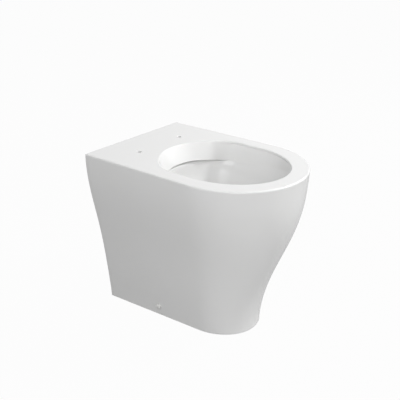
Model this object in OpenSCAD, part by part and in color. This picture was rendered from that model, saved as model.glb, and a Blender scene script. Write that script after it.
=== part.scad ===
// Back to wall toilet pan: a vitreous china floor pan with an open rim, a
// skirted outside that hides the trap, and its side fixing kit.
// Millimetres. Z is up, the floor is z = 0, X runs across the pan and the
// front of the pan faces -Y. The origin is on the floor, midway between the
// wall and the tip of the rim. Inside the functions, d is a distance out
// from the wall, so y = wall_y - d.

/* [Pan body] */
// Width across the rim
body_w = 350; // [330:1:370]
// Depth from the wall to the tip of the rim
body_d = 510; // [490:1:540]
// Height of the deck above the floor
body_h = 430; // [410:1:460]
// Width of the foot at the wall
foot_w = 226; // [200:1:250]
// Depth of the foot at the floor, from the wall to its nose
foot_d = 400; // [370:1:420]
// Thickness of the skirt wall
skirt_t = 12; // [9:0.5:14]
// Width of the flange round the foot
foot_flange_w = 22; // [16:1:26]
// Thickness of the flange round the foot
foot_flange_t = 10; // [8:1:12]
// Width of the flange against the wall
wall_flange_w = 24; // [18:1:30]
// Thickness of the flange against the wall
wall_flange_t = 12; // [8:1:16]

/* [Rim and bowl] */
// Thickness of the deck and rim
deck_t = 14; // [11:0.5:18]
// Radius of the rim's rounded edges
edge_r = 4; // [2:0.5:5]
// Width of the opening in the rim
mouth_w = 266; // [250:1:276]
// Distance from the wall to the back of the opening
mouth_back = 135; // [130:1:145]
// Distance from the tip of the rim to the front of the opening
rim_front_w = 43; // [38:1:50]
// How far the bowl wall is undercut behind the rim's inner edge
undercut = 4; // [2:0.5:6]
// Drop from the deck to the lip of the flush curtain
curtain_drop = 50; // [42:1:54]
// How far the lip of the flush curtain leans into the opening
curtain_lean = 20; // [14:1:26]
// Thickness of the flush curtain at its lip
curtain_t = 9; // [6:0.5:10]
// Thickness of the bowl wall
bowl_t = 9; // [7:0.5:10]
// Distance from the wall to the middle of the sump
sump_d = 275; // [268:1:285]

/* [Seat fixing] */
// Distance between the two seat holes
seat_pitch = 155; // [140:1:170]
// Distance from the wall to the seat holes
seat_from_wall = 93; // [85:1:96]
// Diameter of the seat holes
seat_hole_dia = 11; // [9:0.5:14]

/* [Trap and outlet] */
// Inside diameter of the trapway
trap_bore = 60; // [52:1:62]
// Thickness of the trapway wall
trap_t = 9; // [7:0.5:9.5]
// Radius of the trapway's bends, to the middle of the bore
trap_bend_r = 42; // [41:0.5:44]
// Height of the weir that sets the water level
weir_h = 235; // [225:1:245]
// Depth of the water seal
water_seal = 50; // [45:1:55]
// Height of the middle of the outlet
outlet_h = 180; // [175:1:190]
// Outside diameter of the outlet spigot
outlet_dia = 102; // [98:1:108]
// Inside diameter of the outlet spigot
outlet_bore = 84; // [80:1:88]
// Gap between the wall and the end of the outlet spigot
outlet_from_wall = 25; // [15:1:30]
// Angle of the trapway's down leg below the horizontal
down_leg_angle = 75; // [65:1:85]

/* [Flush inlet] */
// Drop from the deck to the middle of the flush inlet
inlet_drop = 90; // [82:1:98]
// Bore of the china inlet socket
inlet_bore = 55; // [50:1:60]
// Thickness of the inlet socket's wall
inlet_t = 8.5; // [7:0.5:10]
// Gap between the wall and the mouth of the inlet socket
inlet_from_wall = 30; // [26:1:36]
// Length of the inlet socket
inlet_len = 32; // [28:1:34]
// Diameter of the flush pipe that the rubber seal takes
flush_pipe_dia = 44; // [40:1:46]
// Width of the flush window in the back of the bowl
window_w = 60; // [50:1:64]
// Height of the flush window in the back of the bowl
window_h = 24; // [20:1:26]
// Height of the middle of the flush window below the deck
window_drop = 38; // [36:1:40]

/* [Side fixing] */
// Distance from the wall to the side fixing holes
fixing_from_wall = 170; // [150:1:190]
// Height of the side fixing holes
fixing_h = 25; // [22:1:32]
// Diameter of the side fixing holes in the china
fixing_hole_dia = 10; // [9:0.5:11]
// Diameter of the cover caps
cap_dia = 15; // [15:0.5:18]
// Height of the cover caps
cap_h = 5; // [5:0.5:7]
// Diameter of the fixing screws
screw_dia = 6; // [5:0.5:6]
// Length of the fixing screws under the head
screw_len = 46; // [44:1:52]
// Length of the floor brackets across the pan
bracket_l = 50; // [40:1:52]
// Width of the floor brackets along the pan
bracket_w = 36; // [30:1:44]
// Height of the floor brackets
bracket_h = 42; // [38:1:50]
// Thickness of the floor brackets' foot
bracket_foot_t = 6; // [5:0.5:8]
// Diameter of the floor screw holes in the brackets
floor_hole_dia = 8.5; // [6:0.5:10]
// Distance between the floor screw holes of the two brackets
floor_hole_pitch = 110; // [104:1:116]

/* [Hidden] */

// Finishes
china = "#f2f2f0";
rubber = "#2a2a2c";
steel = "#b4b7ba";
white_plastic = "#f7f7f5";
grey_plastic = "#8d9194";

// How the sides flare from the foot to the rim: control shares of a smooth
// curve that climbs evenly from the floor to the rounded edge of the deck.
side_flare = [0, 0.05, 0.37, 0.17, 0.81, 1, 1];
// How the tip flares from the foot to the rim, in the same way.
nose_flare = [0, 0, 0.21, 0.46, 1.06, 0.94, 1];
// The nose is this share of the width at the wall, on the floor.
foot_nose_share = 0.85;
// The nose starts this far out, as a share of the depth of the foot and of
// the depth of the rim.
foot_nose_start = 0.725;
rim_nose_start = 0.637;
// Radius of the upright corners at the wall
wall_corner_r = 5;

wall_y = body_d / 2;
deck_low = body_h - deck_t;
nose_steps = 32;
skirt_levels = 18;

// The opening: a half ellipse at the back, straight sides and a half
// ellipse at the front.
mouth_back_round = 110;
mouth_straight = 65;
mouth_a = mouth_w / 2;
mouth_front = body_d - rim_front_w;
mouth_back_mid = mouth_back + mouth_back_round;
mouth_front_mid = mouth_back_mid + mouth_straight;
mouth_steps = 24;

// The curtain runs on along the sides of the opening, thinning to its ends.
// Its face lies a little behind the edge of the opening where it starts.
curtain_ends = 4;
curtain_end_len = 45;
curtain_set_back = 0.5;
curtain_side_t = 3;
curtain_end_t = 0.7;
curtain_end_gap = 1;

// The bowl: the chamber behind the curtain, the shelf and the sump. The
// powers say how late the sides, the back and the front leave the sump.
chamber_depth = 23;
shelf_drop = 2;
shelf_fall = 32;
shelf_inset = 26;
shelf_top = body_h - curtain_drop - shelf_drop;
shelf_low = shelf_top - shelf_fall;
bend_top = weir_h - water_seal + trap_bend_r - trap_bore / 2;
sump_side_power = 0.6;
sump_back_power = 2.8;
sump_front_power = 0.75;
bowl_levels = 14;
sump_levels = 7;
bowl_level_power = 1.3;
bowl_sag = 6;

// The trapway, in distances from the wall and heights
trap_outer = trap_bore / 2 + trap_t;
up_leg_d = sump_d - 2 * trap_bend_r;
crest_z = weir_h + trap_bore / 2 - trap_bend_r;
crest_d = up_leg_d - trap_bend_r;
crest_turn = 90 + down_leg_angle;
crest_end = [crest_d + trap_bend_r * cos(crest_turn), crest_z + trap_bend_r * sin(crest_turn)];
last_bend_z = outlet_h + trap_bend_r;
down_leg_len = (crest_end[1] + trap_bend_r * cos(down_leg_angle) - last_bend_z) / sin(down_leg_angle);
down_leg_end = crest_end - down_leg_len * [cos(down_leg_angle), sin(down_leg_angle)];
last_bend_d = down_leg_end[0] - trap_bend_r * sin(down_leg_angle);
outlet_plate_t = 8;
trap_sides = 24;
// The back of the bowl stays this far outside the middle of the trapway's bore
trap_gap = 3;
trap_clear_r = trap_outer + bowl_t + trap_gap;

// The flush way
inlet_h = body_h - inlet_drop;
inlet_back = inlet_from_wall + inlet_len;
inlet_outer = inlet_bore / 2 + inlet_t;
window_z = body_h - window_drop;
boss_margin = 9;
boss_proud = 5;
boss_w = window_w + 2 * boss_margin;
boss_h = window_h + 16;
chamber_back = mouth_back - chamber_depth;
boss_back = chamber_back - bowl_t - boss_proud;
spreader_gap = 6;
spreader_t = 2.5;
spreader_depth = 14;
spreader_lip = 3;
spreader_w = window_w + 4 * spreader_lip;
spreader_h = window_h + 2 * spreader_lip;
neck_wall = 3;
seal_wall = 2.3;

// The side fixings, measured out from the pan's middle
spot_depth = 1.2;
spot_margin = 1;
washer_t = 1.2;
washer_dia = fixing_hole_dia + 2 * washer_t;
screw_gap = 0.3;
sleeve_wall = (fixing_hole_dia - screw_dia) / 2 - screw_gap;
head_h = 2.4;
head_dia = 1.6 * screw_dia;
bracket_leg_t = 12;
nut_w = 10;
nut_t = 5;
fit_gap = 0.1;
cap_gap = 0.2;
cap_wall = 1.1;
bracket_gap = 1;
seat_x = side_x(fixing_h, fixing_from_wall, 0) - spot_depth;
bracket_x = side_x(0, fixing_from_wall, 0) - foot_flange_w - bracket_gap;
bracket_leg_x = bracket_x - bracket_leg_t;
eps = 0.01;

// ---- Curves and outlines ----

function mix(a, b, t) = a + (b - a) * t;

// The point at t on the smooth curve through a row of control values
function curve(c, t) =
    len(c) == 1 ? c[0] : curve([for (i = [0:len(c) - 2]) mix(c[i], c[i + 1], t)], t);

function climb(z) = min(1, z / (body_h - edge_r));
function side_half(z) = mix(foot_w, body_w, curve(side_flare, climb(z))) / 2;
function nose_half(z) = side_half(z) * mix(foot_nose_share, 1, climb(z));
function nose_tip(z) = mix(foot_d, body_d, curve(nose_flare, climb(z)));
function nose_mid(z) = mix(foot_nose_start * foot_d, rim_nose_start * body_d, climb(z));

// Where the straight side, drawn from the wall, touches the nose's ellipse
function touch_angle(w, c, a, b) = acos(1 / norm([w / a, c / b])) - atan2(c / b, w / a);
function nose_angle(z, inset) =
    touch_angle(side_half(z) - inset, nose_mid(z), nose_half(z) - inset, nose_tip(z) - nose_mid(z) - inset);

// Half width of the outside at a height and a distance from the wall
function side_x(z, d, inset) =
    let (
        w = side_half(z) - inset,
        a = nose_half(z) - inset,
        b = nose_tip(z) - nose_mid(z) - inset,
        t = nose_angle(z, inset),
        touch = [a * cos(t), nose_mid(z) + b * sin(t)]
    )
    mix(w, touch[0], d / touch[1]);

// The nose from left to right, as [x, d]
function nose_path(z, inset) =
    let (
        a = nose_half(z) - inset,
        b = nose_tip(z) - nose_mid(z) - inset,
        t0 = nose_angle(z, inset)
    )
    [for (k = [0:nose_steps]) let (t = mix(t0, 180 - t0, k / nose_steps))
        [-a * cos(t), nose_mid(z) + b * sin(t)]];

// The side as [x, d], from the wall to the start of the nose
function outer_side(z, inset) =
    let (w = side_half(z) - inset, r = wall_corner_r)
    [
        [w - r, 0], [w - 0.3 * r, 0.3 * r], [side_x(z, r, inset), r],
        [side_x(z, wall_flange_t, inset), wall_flange_t],
        [side_x(z, 1.5 * wall_flange_t, inset), 1.5 * wall_flange_t]
    ];
function inner_side(z, inset) =
    let (w = side_half(z) - wall_flange_w)
    [
        [w, 0], [w, 0.3 * wall_corner_r], [w, wall_corner_r], [w, wall_flange_t],
        [side_x(z, 1.5 * wall_flange_t, inset), 1.5 * wall_flange_t]
    ];

function mirrored(path) = [for (i = [len(path) - 1:-1:0]) [-path[i][0], path[i][1]]];
function left_of(side) = [for (p = side) [-p[0], p[1]]];
function raised(path, z) = [for (p = path) [p[0], wall_y - p[1], z]];

// The outside of the pan at a height, from the left of the wall, round the
// nose, to the right of the wall
function outer_path(z, inset) =
    let (side = outer_side(z, inset))
    concat(left_of(side), nose_path(z, inset), mirrored(left_of(side)));
function inner_path(z, inset) =
    let (side = inner_side(z, inset))
    concat(left_of(side), nose_path(z, inset), mirrored(left_of(side)));

// A closed opening: half ellipses at the back and at the front
function oval_path(a, back, back_mid, front_mid, front) =
    concat(
        [for (k = [0:mouth_steps]) let (t = 180 * k / mouth_steps)
            [-a * cos(t), front_mid + (front - front_mid) * sin(t)]],
        [for (k = [0:mouth_steps]) let (t = 180 * k / mouth_steps)
            [a * cos(t), back_mid - (back_mid - back) * sin(t)]]
    );
function mouth_path(grow) =
    oval_path(mouth_a + grow, mouth_back - grow, mouth_back_mid, mouth_front_mid, mouth_front + grow);

// ---- Solids from outlines ----

function quad(a, b, c, d) = [[a, b, c], [a, c, d]];
function flat(lists) = [for (l = lists) for (x = l) x];

// A wall between two stacks of outlines. An open wall gets an end at each
// end of its outlines.
module wall_solid(outer, inner, closed) {
    m = len(outer);
    n = len(outer[0]);
    last = closed ? n - 1 : n - 2;
    inner_start = m * n;
    up = [for (j = [0:m - 2]) for (i = [0:last]) let (k = (i + 1) % n)
        quad(j * n + i, (j + 1) * n + i, (j + 1) * n + k, j * n + k)];
    down = [for (j = [0:m - 2]) for (i = [0:last]) let (k = (i + 1) % n, s = inner_start)
        quad(s + j * n + i, s + j * n + k, s + (j + 1) * n + k, s + (j + 1) * n + i)];
    base = [for (i = [0:last]) let (k = (i + 1) % n, s = inner_start)
        quad(i, k, s + k, s + i)];
    top = [for (i = [0:last]) let (k = (i + 1) % n, t = (m - 1) * n, s = inner_start + (m - 1) * n)
        quad(t + i, s + i, s + k, t + k)];
    first_end = closed ? [] : [for (j = [0:m - 2]) let (s = inner_start)
        quad((j + 1) * n, j * n, s + j * n, s + (j + 1) * n)];
    last_end = closed ? [] : [for (j = [0:m - 2]) let (e = n - 1, s = inner_start + n - 1)
        quad(j * n + e, (j + 1) * n + e, s + (j + 1) * n, s + j * n)];
    polyhedron(
        points = concat(flat(outer), flat(inner)),
        faces = flat(concat(up, down, base, top, first_end, last_end))
    );
}

// A solid through a stack of outlines that bulge outwards everywhere
module stack_solid(rings) {
    m = len(rings);
    n = len(rings[0]);
    sides = [for (j = [0:m - 2]) for (i = [0:n - 1]) let (k = (i + 1) % n)
        quad(j * n + i, (j + 1) * n + i, (j + 1) * n + k, j * n + k)];
    polyhedron(
        points = flat(rings),
        faces = concat(flat(sides), [[for (i = [0:n - 1]) i]], [[for (i = [n - 1:-1:0]) (m - 1) * n + i]])
    );
}

// A round bar along the pan, from one distance from the wall to another
module bar_out(from_d, to_d, z, r) {
    translate([0, wall_y - from_d, z])
        rotate([90, 0, 0])
            cylinder(h = to_d - from_d, r = r, $fn = 96);
}

// A block across the pan's middle
module block(w, from_d, to_d, z, h) {
    translate([-w / 2, wall_y - to_d, z - h / 2])
        cube([w, to_d - from_d, h]);
}

// A round bar across the pan at a side fixing, from one x to another. side
// is -1 on the left, seen from the front, and 1 on the right.
module bar_across(side, from_x, to_x, r, fn = 64) {
    translate([side * from_x, wall_y - fixing_from_wall, fixing_h])
        rotate([0, side * 90, 0])
            cylinder(h = to_x - from_x, r = r, $fn = fn);
}

// ---- China ----

// The deck and rim, with the seat holes and the flush curtain
module china_rim() {
    edge = [[deck_low, 0], [body_h - edge_r, 0], [body_h - 0.3 * edge_r, 0.3 * edge_r], [body_h, edge_r]];
    mouth_edge = [[deck_low - 5, 0], edge[1], edge[2], edge[3], [body_h + 5, edge_r]];
    color(china)
    union() {
        difference() {
            stack_solid([for (e = edge) raised(outer_path(e[0], e[1]), e[0])]);
            stack_solid([for (e = mouth_edge) raised(mouth_path(e[1]), e[0])]);
            for (side = [-1, 1])
                translate([side * seat_pitch / 2, wall_y - seat_from_wall, deck_low - 1])
                    cylinder(h = deck_t + 2, d = seat_hole_dia, $fn = 64);
        }
        flush_curtain();
    }
}

// The curtain leans into the back of the opening and hides the flush way
module flush_curtain() {
    top = body_h - edge_r - 1;
    low = body_h - curtain_drop;
    levels = [for (k = [0:4]) mix(low, top, k / 4)];
    color(china)
        wall_solid(
            [for (z = levels) curtain_path(z, top, low, true)],
            [for (z = levels) curtain_path(z, top, low, false)],
            false
        );
}
// One side of the curtain at a height, from the right side of the opening
// round its back to the left. The lean fades out round the back's ends, and
// the curtain then fades into the undercut along the sides.
function curtain_path(z, top, low, hidden) =
    let (
        drop = (top - z) / (top - low),
        right = [for (k = [0:curtain_ends - 1]) let (
                out = 1 - k / curtain_ends,
                front = -mix(curtain_set_back, undercut - curtain_end_gap, out),
                t = mix(curtain_side_t, curtain_end_t, out)
            )
            [mouth_a - (hidden ? front - t : front), mouth_back_mid + curtain_end_len * out]
        ],
        left = [for (i = [curtain_ends - 1:-1:0]) [-right[i][0], right[i][1]]],
        round = [for (k = [0:mouth_steps]) let (
                a = 180 * k / mouth_steps,
                fade = 1 - pow(abs(a - 90) / 90, 4),
                front = curtain_lean * fade * drop - curtain_set_back,
                in = hidden ? front - mix(curtain_side_t, curtain_t, fade) : front
            )
            [(mouth_a - in) * cos(a), mouth_back_mid - (mouth_back_mid - mouth_back - in) * sin(a)]
        ]
    )
    raised(concat(right, round, left), z);

// The outside of the pan, open at the back and underneath, with a flange
// round its foot and one against the wall
module china_skirt() {
    flange_top = foot_flange_t + 6;
    levels = concat(
        [[0, foot_flange_w], [foot_flange_t, foot_flange_w]],
        [for (k = [0:skirt_levels]) [mix(flange_top, deck_low, k / skirt_levels), skirt_t]]
    );
    color(china)
    difference() {
        wall_solid(
            [for (l = levels) raised(outer_path(l[0], 0), l[0])],
            [for (l = levels) raised(inner_path(l[0], l[1]), l[0])],
            false
        );
        for (side = [-1, 1]) {
            bar_across(side, seat_x - 2 * skirt_t, seat_x + 5, fixing_hole_dia / 2);
            bar_across(side, seat_x, seat_x + 10, cap_dia / 2 + spot_margin);
        }
    }
}

// The bowl narrows from under the rim to the sump. Its outlines at a height
// are [half width, back, middle of the back, middle of the front, front].
// The back stays in front of the trapway.
function bowl_inner(z) =
    let (b = z >= shelf_low ? upper_bowl(z) : lower_bowl((z - bend_top) / (shelf_low - bend_top)))
    [b[0], max(b[1], trap_front(z)), b[2], b[3], b[4]];
// How far out the bowl's back has to stay at a height to pass over the weir
function trap_front(z) =
    let (r = trap_bend_r + trap_clear_r, up = max(0, z - crest_z))
    up > r ? 0 : crest_d + sqrt(r * r - up * up);
// The shelf under the rim, and the chamber behind the curtain
function upper_bowl(z) =
    let (
        s = z >= shelf_top ? 0 : (shelf_top - z) / (shelf_top - shelf_low),
        inset = shelf_inset * s * s * (3 - 2 * s)
    )
    [
        mouth_a + undercut - inset, chamber_back + inset,
        mouth_back_mid, mouth_front_mid, mouth_front + undercut - inset
    ];
function lower_bowl(t) =
    let (top = upper_bowl(shelf_low), r = trap_bore / 2)
    [
        mix(r, top[0], pow(t, sump_side_power)),
        mix(sump_d - r, top[1], pow(t, sump_back_power)),
        mix(sump_d, top[2], t),
        mix(sump_d, top[3], t),
        mix(sump_d + r, top[4], pow(t, sump_front_power))
    ];
// The outside follows the inside, and lies lower halfway up where the wall
// slopes most. The bowl's wall is cast in two lengths, which meet above the
// sump.
function bowl_heights() =
    concat(
        [for (k = [0:bowl_levels]) mix(bend_top, shelf_low, pow(k / bowl_levels, bowl_level_power))],
        [for (s = [0.8, 0.6, 0.4, 0.2, 0]) mix(shelf_top, shelf_low, s)],
        [deck_low]
    );
module bowl_wall(first, last) {
    z = bowl_heights();
    top = len(z) - 1;
    wall_solid(
        [for (j = [first:last]) let (b = bowl_inner(z[j]))
            raised(
                oval_path(b[0] + bowl_t, b[1] - bowl_t, b[2], b[3], b[4] + bowl_t),
                z[j] - bowl_sag * sin(180 * j / top)
            )],
        [for (j = [first:last]) let (b = bowl_inner(z[j]))
            raised(oval_path(b[0], b[1], b[2], b[3], b[4]), z[j])],
        true
    );
}
module china_bowl() {
    color(china)
    difference() {
        union() {
            bowl_wall(sump_levels, len(bowl_heights()) - 1);
            block(boss_w, boss_back, chamber_back - 2, window_z, boss_h);
        }
        block(window_w, boss_back - 5, chamber_back + 20, window_z, window_h);
    }
}
module china_sump() {
    color(china) bowl_wall(0, sump_levels);
}

// The trapway is cast in three lengths: under the dip, up and over the weir,
// and down to the outlet. Each runs through stations of [distance from the
// wall, height, heading].
function trap_bend(pivot, from_a, to_a, turn, steps) =
    [for (k = [0:steps]) let (a = mix(from_a, to_a, k / steps))
        [pivot[0] + trap_bend_r * cos(a), pivot[1] + trap_bend_r * sin(a), a + turn]];
function trap_ring(station, r) =
    let (h = station[2])
    [for (k = [0:trap_sides - 1]) let (a = 360 * k / trap_sides)
        [-r * sin(a), wall_y - station[0] + r * cos(a) * sin(h), station[1] + r * cos(a) * cos(h)]];
module trap_length(stations) {
    color(china)
        wall_solid(
            [for (s = stations) trap_ring(s, trap_outer)],
            [for (s = stations) trap_ring(s, trap_bore / 2)],
            true
        );
}
function dip_stations() = trap_bend([sump_d - trap_bend_r, bend_top], 0, -180, -90, 12);
function weir_stations() = trap_bend([crest_d, crest_z], 0, crest_turn, 90, 11);
function leg_stations() = trap_bend([last_bend_d, last_bend_z], 270 + down_leg_angle, 270, -90, 5);
function last_of(list) = list[len(list) - 1];
module china_trap_dip() { trap_length(dip_stations()); }
module china_trap_weir() { trap_length(concat([last_of(dip_stations())], weir_stations())); }
module china_trap_leg() { trap_length(concat([last_of(weir_stations())], leg_stations())); }

// The spigot that the soil pipe's connector slides over
module outlet_spigot() {
    color(china)
    difference() {
        bar_out(outlet_from_wall, last_bend_d, outlet_h, outlet_dia / 2);
        bar_out(outlet_from_wall - 1, last_bend_d - outlet_plate_t, outlet_h, outlet_bore / 2);
        bar_out(outlet_from_wall, last_bend_d + 1, outlet_h, trap_bore / 2);
    }
}

// The channel that widens from the inlet socket to the flush window
module flush_channel() {
    color(china)
    difference() {
        channel_form(inlet_outer, boss_w, boss_h, 0);
        channel_form(inlet_bore / 2, window_w, window_h, 1);
    }
}
module channel_form(r, w, h, past) {
    hull() {
        translate([0, wall_y - inlet_back + past, inlet_h])
            rotate([90, 0, 0])
                cylinder(h = eps, r = r, $fn = 32);
        block(w, boss_back - eps, boss_back + past, window_z, h);
    }
}

// The socket that the inlet seal is pushed into
module inlet_socket() {
    bead_w = 3;
    bead_len = 8;
    color(china)
    difference() {
        union() {
            bar_out(inlet_from_wall, inlet_back, inlet_h, inlet_outer);
            bar_out(inlet_from_wall, inlet_from_wall + bead_len, inlet_h, inlet_outer + bead_w);
        }
        bar_out(inlet_from_wall - 1, inlet_back + 1, inlet_h, inlet_bore / 2);
    }
}

// ---- Flush fittings ----

// Rubber seal between the socket and the flush pipe, with a flange at its
// mouth and two sealing ribs
module inlet_seal() {
    flange_t = 3;
    flange_lip = 5;
    rib_w = 3;
    rib_h = 1.2;
    rib_inset = 6;
    body_r = inlet_bore / 2 - rib_h;
    color(rubber)
    difference() {
        union() {
            bar_out(inlet_from_wall - flange_t, inlet_back - 2, inlet_h, body_r);
            bar_out(inlet_from_wall - flange_t, inlet_from_wall, inlet_h, inlet_bore / 2 + flange_lip);
            for (d = [inlet_from_wall + rib_inset, inlet_back - rib_inset - rib_w])
                bar_out(d, d + rib_w, inlet_h, inlet_bore / 2 - fit_gap / 2);
        }
        bar_out(inlet_from_wall - flange_t - 1, inlet_back, inlet_h, flush_pipe_dia / 2);
    }
}

// Rubber sleeve that holds the spreader's neck in the flush window
module spreader_seal() {
    color(rubber)
    difference() {
        block(window_w - 2 * fit_gap, boss_back + 2, chamber_back, window_z, window_h - 2 * fit_gap);
        block(window_w - 2 * seal_wall, boss_back + 1, chamber_back + 1, window_z, window_h - 2 * seal_wall);
    }
}

// Plastic spreader: a neck through the window and a hood that turns the
// flush out to both sides
module flush_spreader() {
    neck_w = window_w - 2 * seal_wall - 2 * fit_gap;
    neck_h = window_h - 2 * seal_wall - 2 * fit_gap;
    plate_d = chamber_back + spreader_gap;
    hood_d = plate_d + spreader_depth;
    slot_h = spreader_h - 2 * spreader_t;
    color(grey_plastic)
    difference() {
        union() {
            block(neck_w, boss_back + 4, plate_d + 1, window_z, neck_h);
            block(spreader_w, plate_d, hood_d, window_z, spreader_h);
        }
        block(neck_w - 2 * neck_wall, boss_back + 3, hood_d - spreader_t, window_z, neck_h - 2 * neck_wall);
        block(spreader_w + 2, plate_d + spreader_t, hood_d - spreader_t, window_z, slot_h);
    }
}

// ---- Side fixings: side is -1 on the left and 1 on the right ----

// Bracket that is screwed to the floor inside the skirt
module fixing_bracket(side) {
    color(grey_plastic)
    difference() {
        union() {
            across_block(side, bracket_x - bracket_l, bracket_x, bracket_w, 0, bracket_foot_t);
            across_block(side, bracket_leg_x, bracket_x, bracket_w, 0, bracket_h);
            for (end = [-1, 1])
                bracket_gusset(side, end);
        }
        translate([side * floor_hole_pitch / 2, wall_y - fixing_from_wall, -1])
            cylinder(h = bracket_foot_t + 2, d = floor_hole_dia, $fn = 64);
        bar_across(side, bracket_leg_x - 1, bracket_x + 1, screw_dia / 2 + screw_gap);
        across_block(
            side, bracket_leg_x - 1, bracket_leg_x + nut_t + fit_gap,
            nut_w + 2 * fit_gap, fixing_h - nut_w / 2 - fit_gap, fixing_h + nut_w / 2 + fit_gap
        );
    }
}
// A sloping stiffener between the bracket's foot and its upright
module bracket_gusset(side, end) {
    rib_t = 4;
    margin = 4;
    sink = 1;
    inner_x = bracket_x - bracket_l + margin;
    leg_x = bracket_leg_x + sink;
    low = bracket_foot_t - sink;
    high = bracket_h - margin;
    y = wall_y - fixing_from_wall + end * (bracket_w - rib_t) / 2;
    translate([0, y + rib_t / 2, 0])
        rotate([90, 0, 0])
            linear_extrude(rib_t)
                polygon([
                    [side * inner_x, low], [side * leg_x, low],
                    [side * leg_x, high], [side * (leg_x - margin), high]
                ]);
}
module across_block(side, from_x, to_x, w, from_z, to_z) {
    translate([side > 0 ? from_x : -to_x, wall_y - fixing_from_wall - w / 2, from_z])
        cube([to_x - from_x, w, to_z - from_z]);
}

// Square nut held in the bracket
module bracket_nut(side) {
    color(steel)
    difference() {
        across_block(
            side, bracket_leg_x, bracket_leg_x + nut_t,
            nut_w, fixing_h - nut_w / 2, fixing_h + nut_w / 2
        );
        bar_across(side, bracket_leg_x - 1, bracket_x, screw_dia / 2 + fit_gap / 2);
    }
}

// Plastic sleeve that lines the hole in the china
module fixing_sleeve(side) {
    color(grey_plastic)
    difference() {
        bar_across(side, seat_x - skirt_t - 1, seat_x, fixing_hole_dia / 2 - fit_gap);
        bar_across(side, seat_x - skirt_t - 2, seat_x + 1, fixing_hole_dia / 2 - fit_gap - sleeve_wall);
    }
}

// Washer between the screw's head and the china
module fixing_washer(side) {
    color(steel)
    difference() {
        bar_across(side, seat_x, seat_x + washer_t, washer_dia / 2);
        bar_across(side, seat_x - 1, seat_x + washer_t + 1, screw_dia / 2 + fit_gap);
    }
}

// Screw from the side of the pan into the bracket's nut
module fixing_screw(side) {
    head_x = seat_x + washer_t;
    socket_x = head_x + head_h / 4;
    color(steel)
    difference() {
        union() {
            bar_across(side, head_x - screw_len, socket_x, screw_dia / 2);
            bar_across(side, head_x, head_x + head_h, head_dia / 2);
        }
        bar_across(side, socket_x, head_x + head_h + 1, screw_dia / 3, fn = 6);
    }
}

// Domed cap over the screw's head. It pulls straight off.
module cover_cap(side) {
    dome_h = 1.6;
    start_x = seat_x + cap_gap;
    color(white_plastic)
    difference() {
        union() {
            bar_across(side, start_x, start_x + cap_h - dome_h, cap_dia / 2);
            translate([side * (start_x + cap_h - dome_h), wall_y - fixing_from_wall, fixing_h])
                rotate([0, side * 90, 0])
                    rotate_extrude($fn = 96)
                        intersection() {
                            translate([0, dome_h - dome_radius(dome_h)])
                                circle(r = dome_radius(dome_h), $fn = 128);
                            square([cap_dia / 2, dome_h]);
                        }
        }
        bar_across(side, start_x - 1, start_x + cap_h - dome_h, cap_dia / 2 - cap_wall);
    }
}
// Radius of a dome that covers the cap and rises by h
function dome_radius(h) = (pow(cap_dia / 2, 2) + h * h) / (2 * h);

module fixing_bracket_left() { fixing_bracket(-1); }
module fixing_bracket_right() { fixing_bracket(1); }
module bracket_nut_left() { bracket_nut(-1); }
module bracket_nut_right() { bracket_nut(1); }
module fixing_sleeve_left() { fixing_sleeve(-1); }
module fixing_sleeve_right() { fixing_sleeve(1); }
module fixing_washer_left() { fixing_washer(-1); }
module fixing_washer_right() { fixing_washer(1); }
module fixing_screw_left() { fixing_screw(-1); }
module fixing_screw_right() { fixing_screw(1); }
module cover_cap_left() { cover_cap(-1); }
module cover_cap_right() { cover_cap(1); }

china_rim();
china_skirt();
china_bowl();
china_sump();
china_trap_dip();
china_trap_weir();
china_trap_leg();
outlet_spigot();
flush_channel();
inlet_socket();
inlet_seal();
flush_spreader();
spreader_seal();
fixing_bracket_left();
fixing_bracket_right();
bracket_nut_left();
bracket_nut_right();
fixing_sleeve_left();
fixing_sleeve_right();
fixing_washer_left();
fixing_washer_right();
fixing_screw_left();
fixing_screw_right();
cover_cap_left();
cover_cap_right();
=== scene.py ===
"""Back to wall toilet pan in glazed vitreous china, with its flush fittings and side fixings.

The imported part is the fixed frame. The china's finished surfaces, the outlet, the flush way and the
small fittings are built here over its nodes. Sizes are metres. Z is up, the wall is at +Y and the
front of the pan faces -Y. In the outlines, d is a distance out from the wall, so y = wall - d.
"""

import logging
import math
from collections.abc import Callable, Iterable, Mapping, Sequence
from dataclasses import astuple, dataclass, field, replace
from enum import Enum

import bmesh
import bpy
from bmesh.types import BMEdge, BMesh, BMFace, BMVert
from mathutils import Matrix, Vector


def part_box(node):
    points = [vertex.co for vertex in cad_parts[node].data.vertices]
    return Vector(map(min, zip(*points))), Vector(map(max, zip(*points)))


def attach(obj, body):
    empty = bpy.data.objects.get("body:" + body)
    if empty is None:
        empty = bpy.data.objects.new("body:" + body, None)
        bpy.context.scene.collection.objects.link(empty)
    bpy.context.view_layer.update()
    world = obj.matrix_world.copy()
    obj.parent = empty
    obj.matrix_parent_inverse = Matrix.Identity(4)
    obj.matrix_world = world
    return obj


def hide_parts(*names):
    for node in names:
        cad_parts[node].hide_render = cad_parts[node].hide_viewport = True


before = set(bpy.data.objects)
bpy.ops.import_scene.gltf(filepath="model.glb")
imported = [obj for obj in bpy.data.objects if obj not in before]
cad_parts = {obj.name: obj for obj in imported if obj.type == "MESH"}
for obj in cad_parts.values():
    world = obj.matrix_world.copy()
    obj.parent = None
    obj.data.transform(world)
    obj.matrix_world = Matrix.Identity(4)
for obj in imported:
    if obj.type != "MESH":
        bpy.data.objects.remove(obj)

log = logging.getLogger("pan")

Point = tuple[float, float]

ACROSS, ALONG, UP = Vector((1, 0, 0)), Vector((0, 1, 0)), Vector((0, 0, 1))
SIDES = {-1: "left", 1: "right"}
WHITE = (1.0, 1.0, 1.0, 1.0)


# ---- Small sums ----


def mix(low: float, high: float, share: float) -> float:
    """Returns the value at a share of the way from low to high."""
    return low + (high - low) * share


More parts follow.
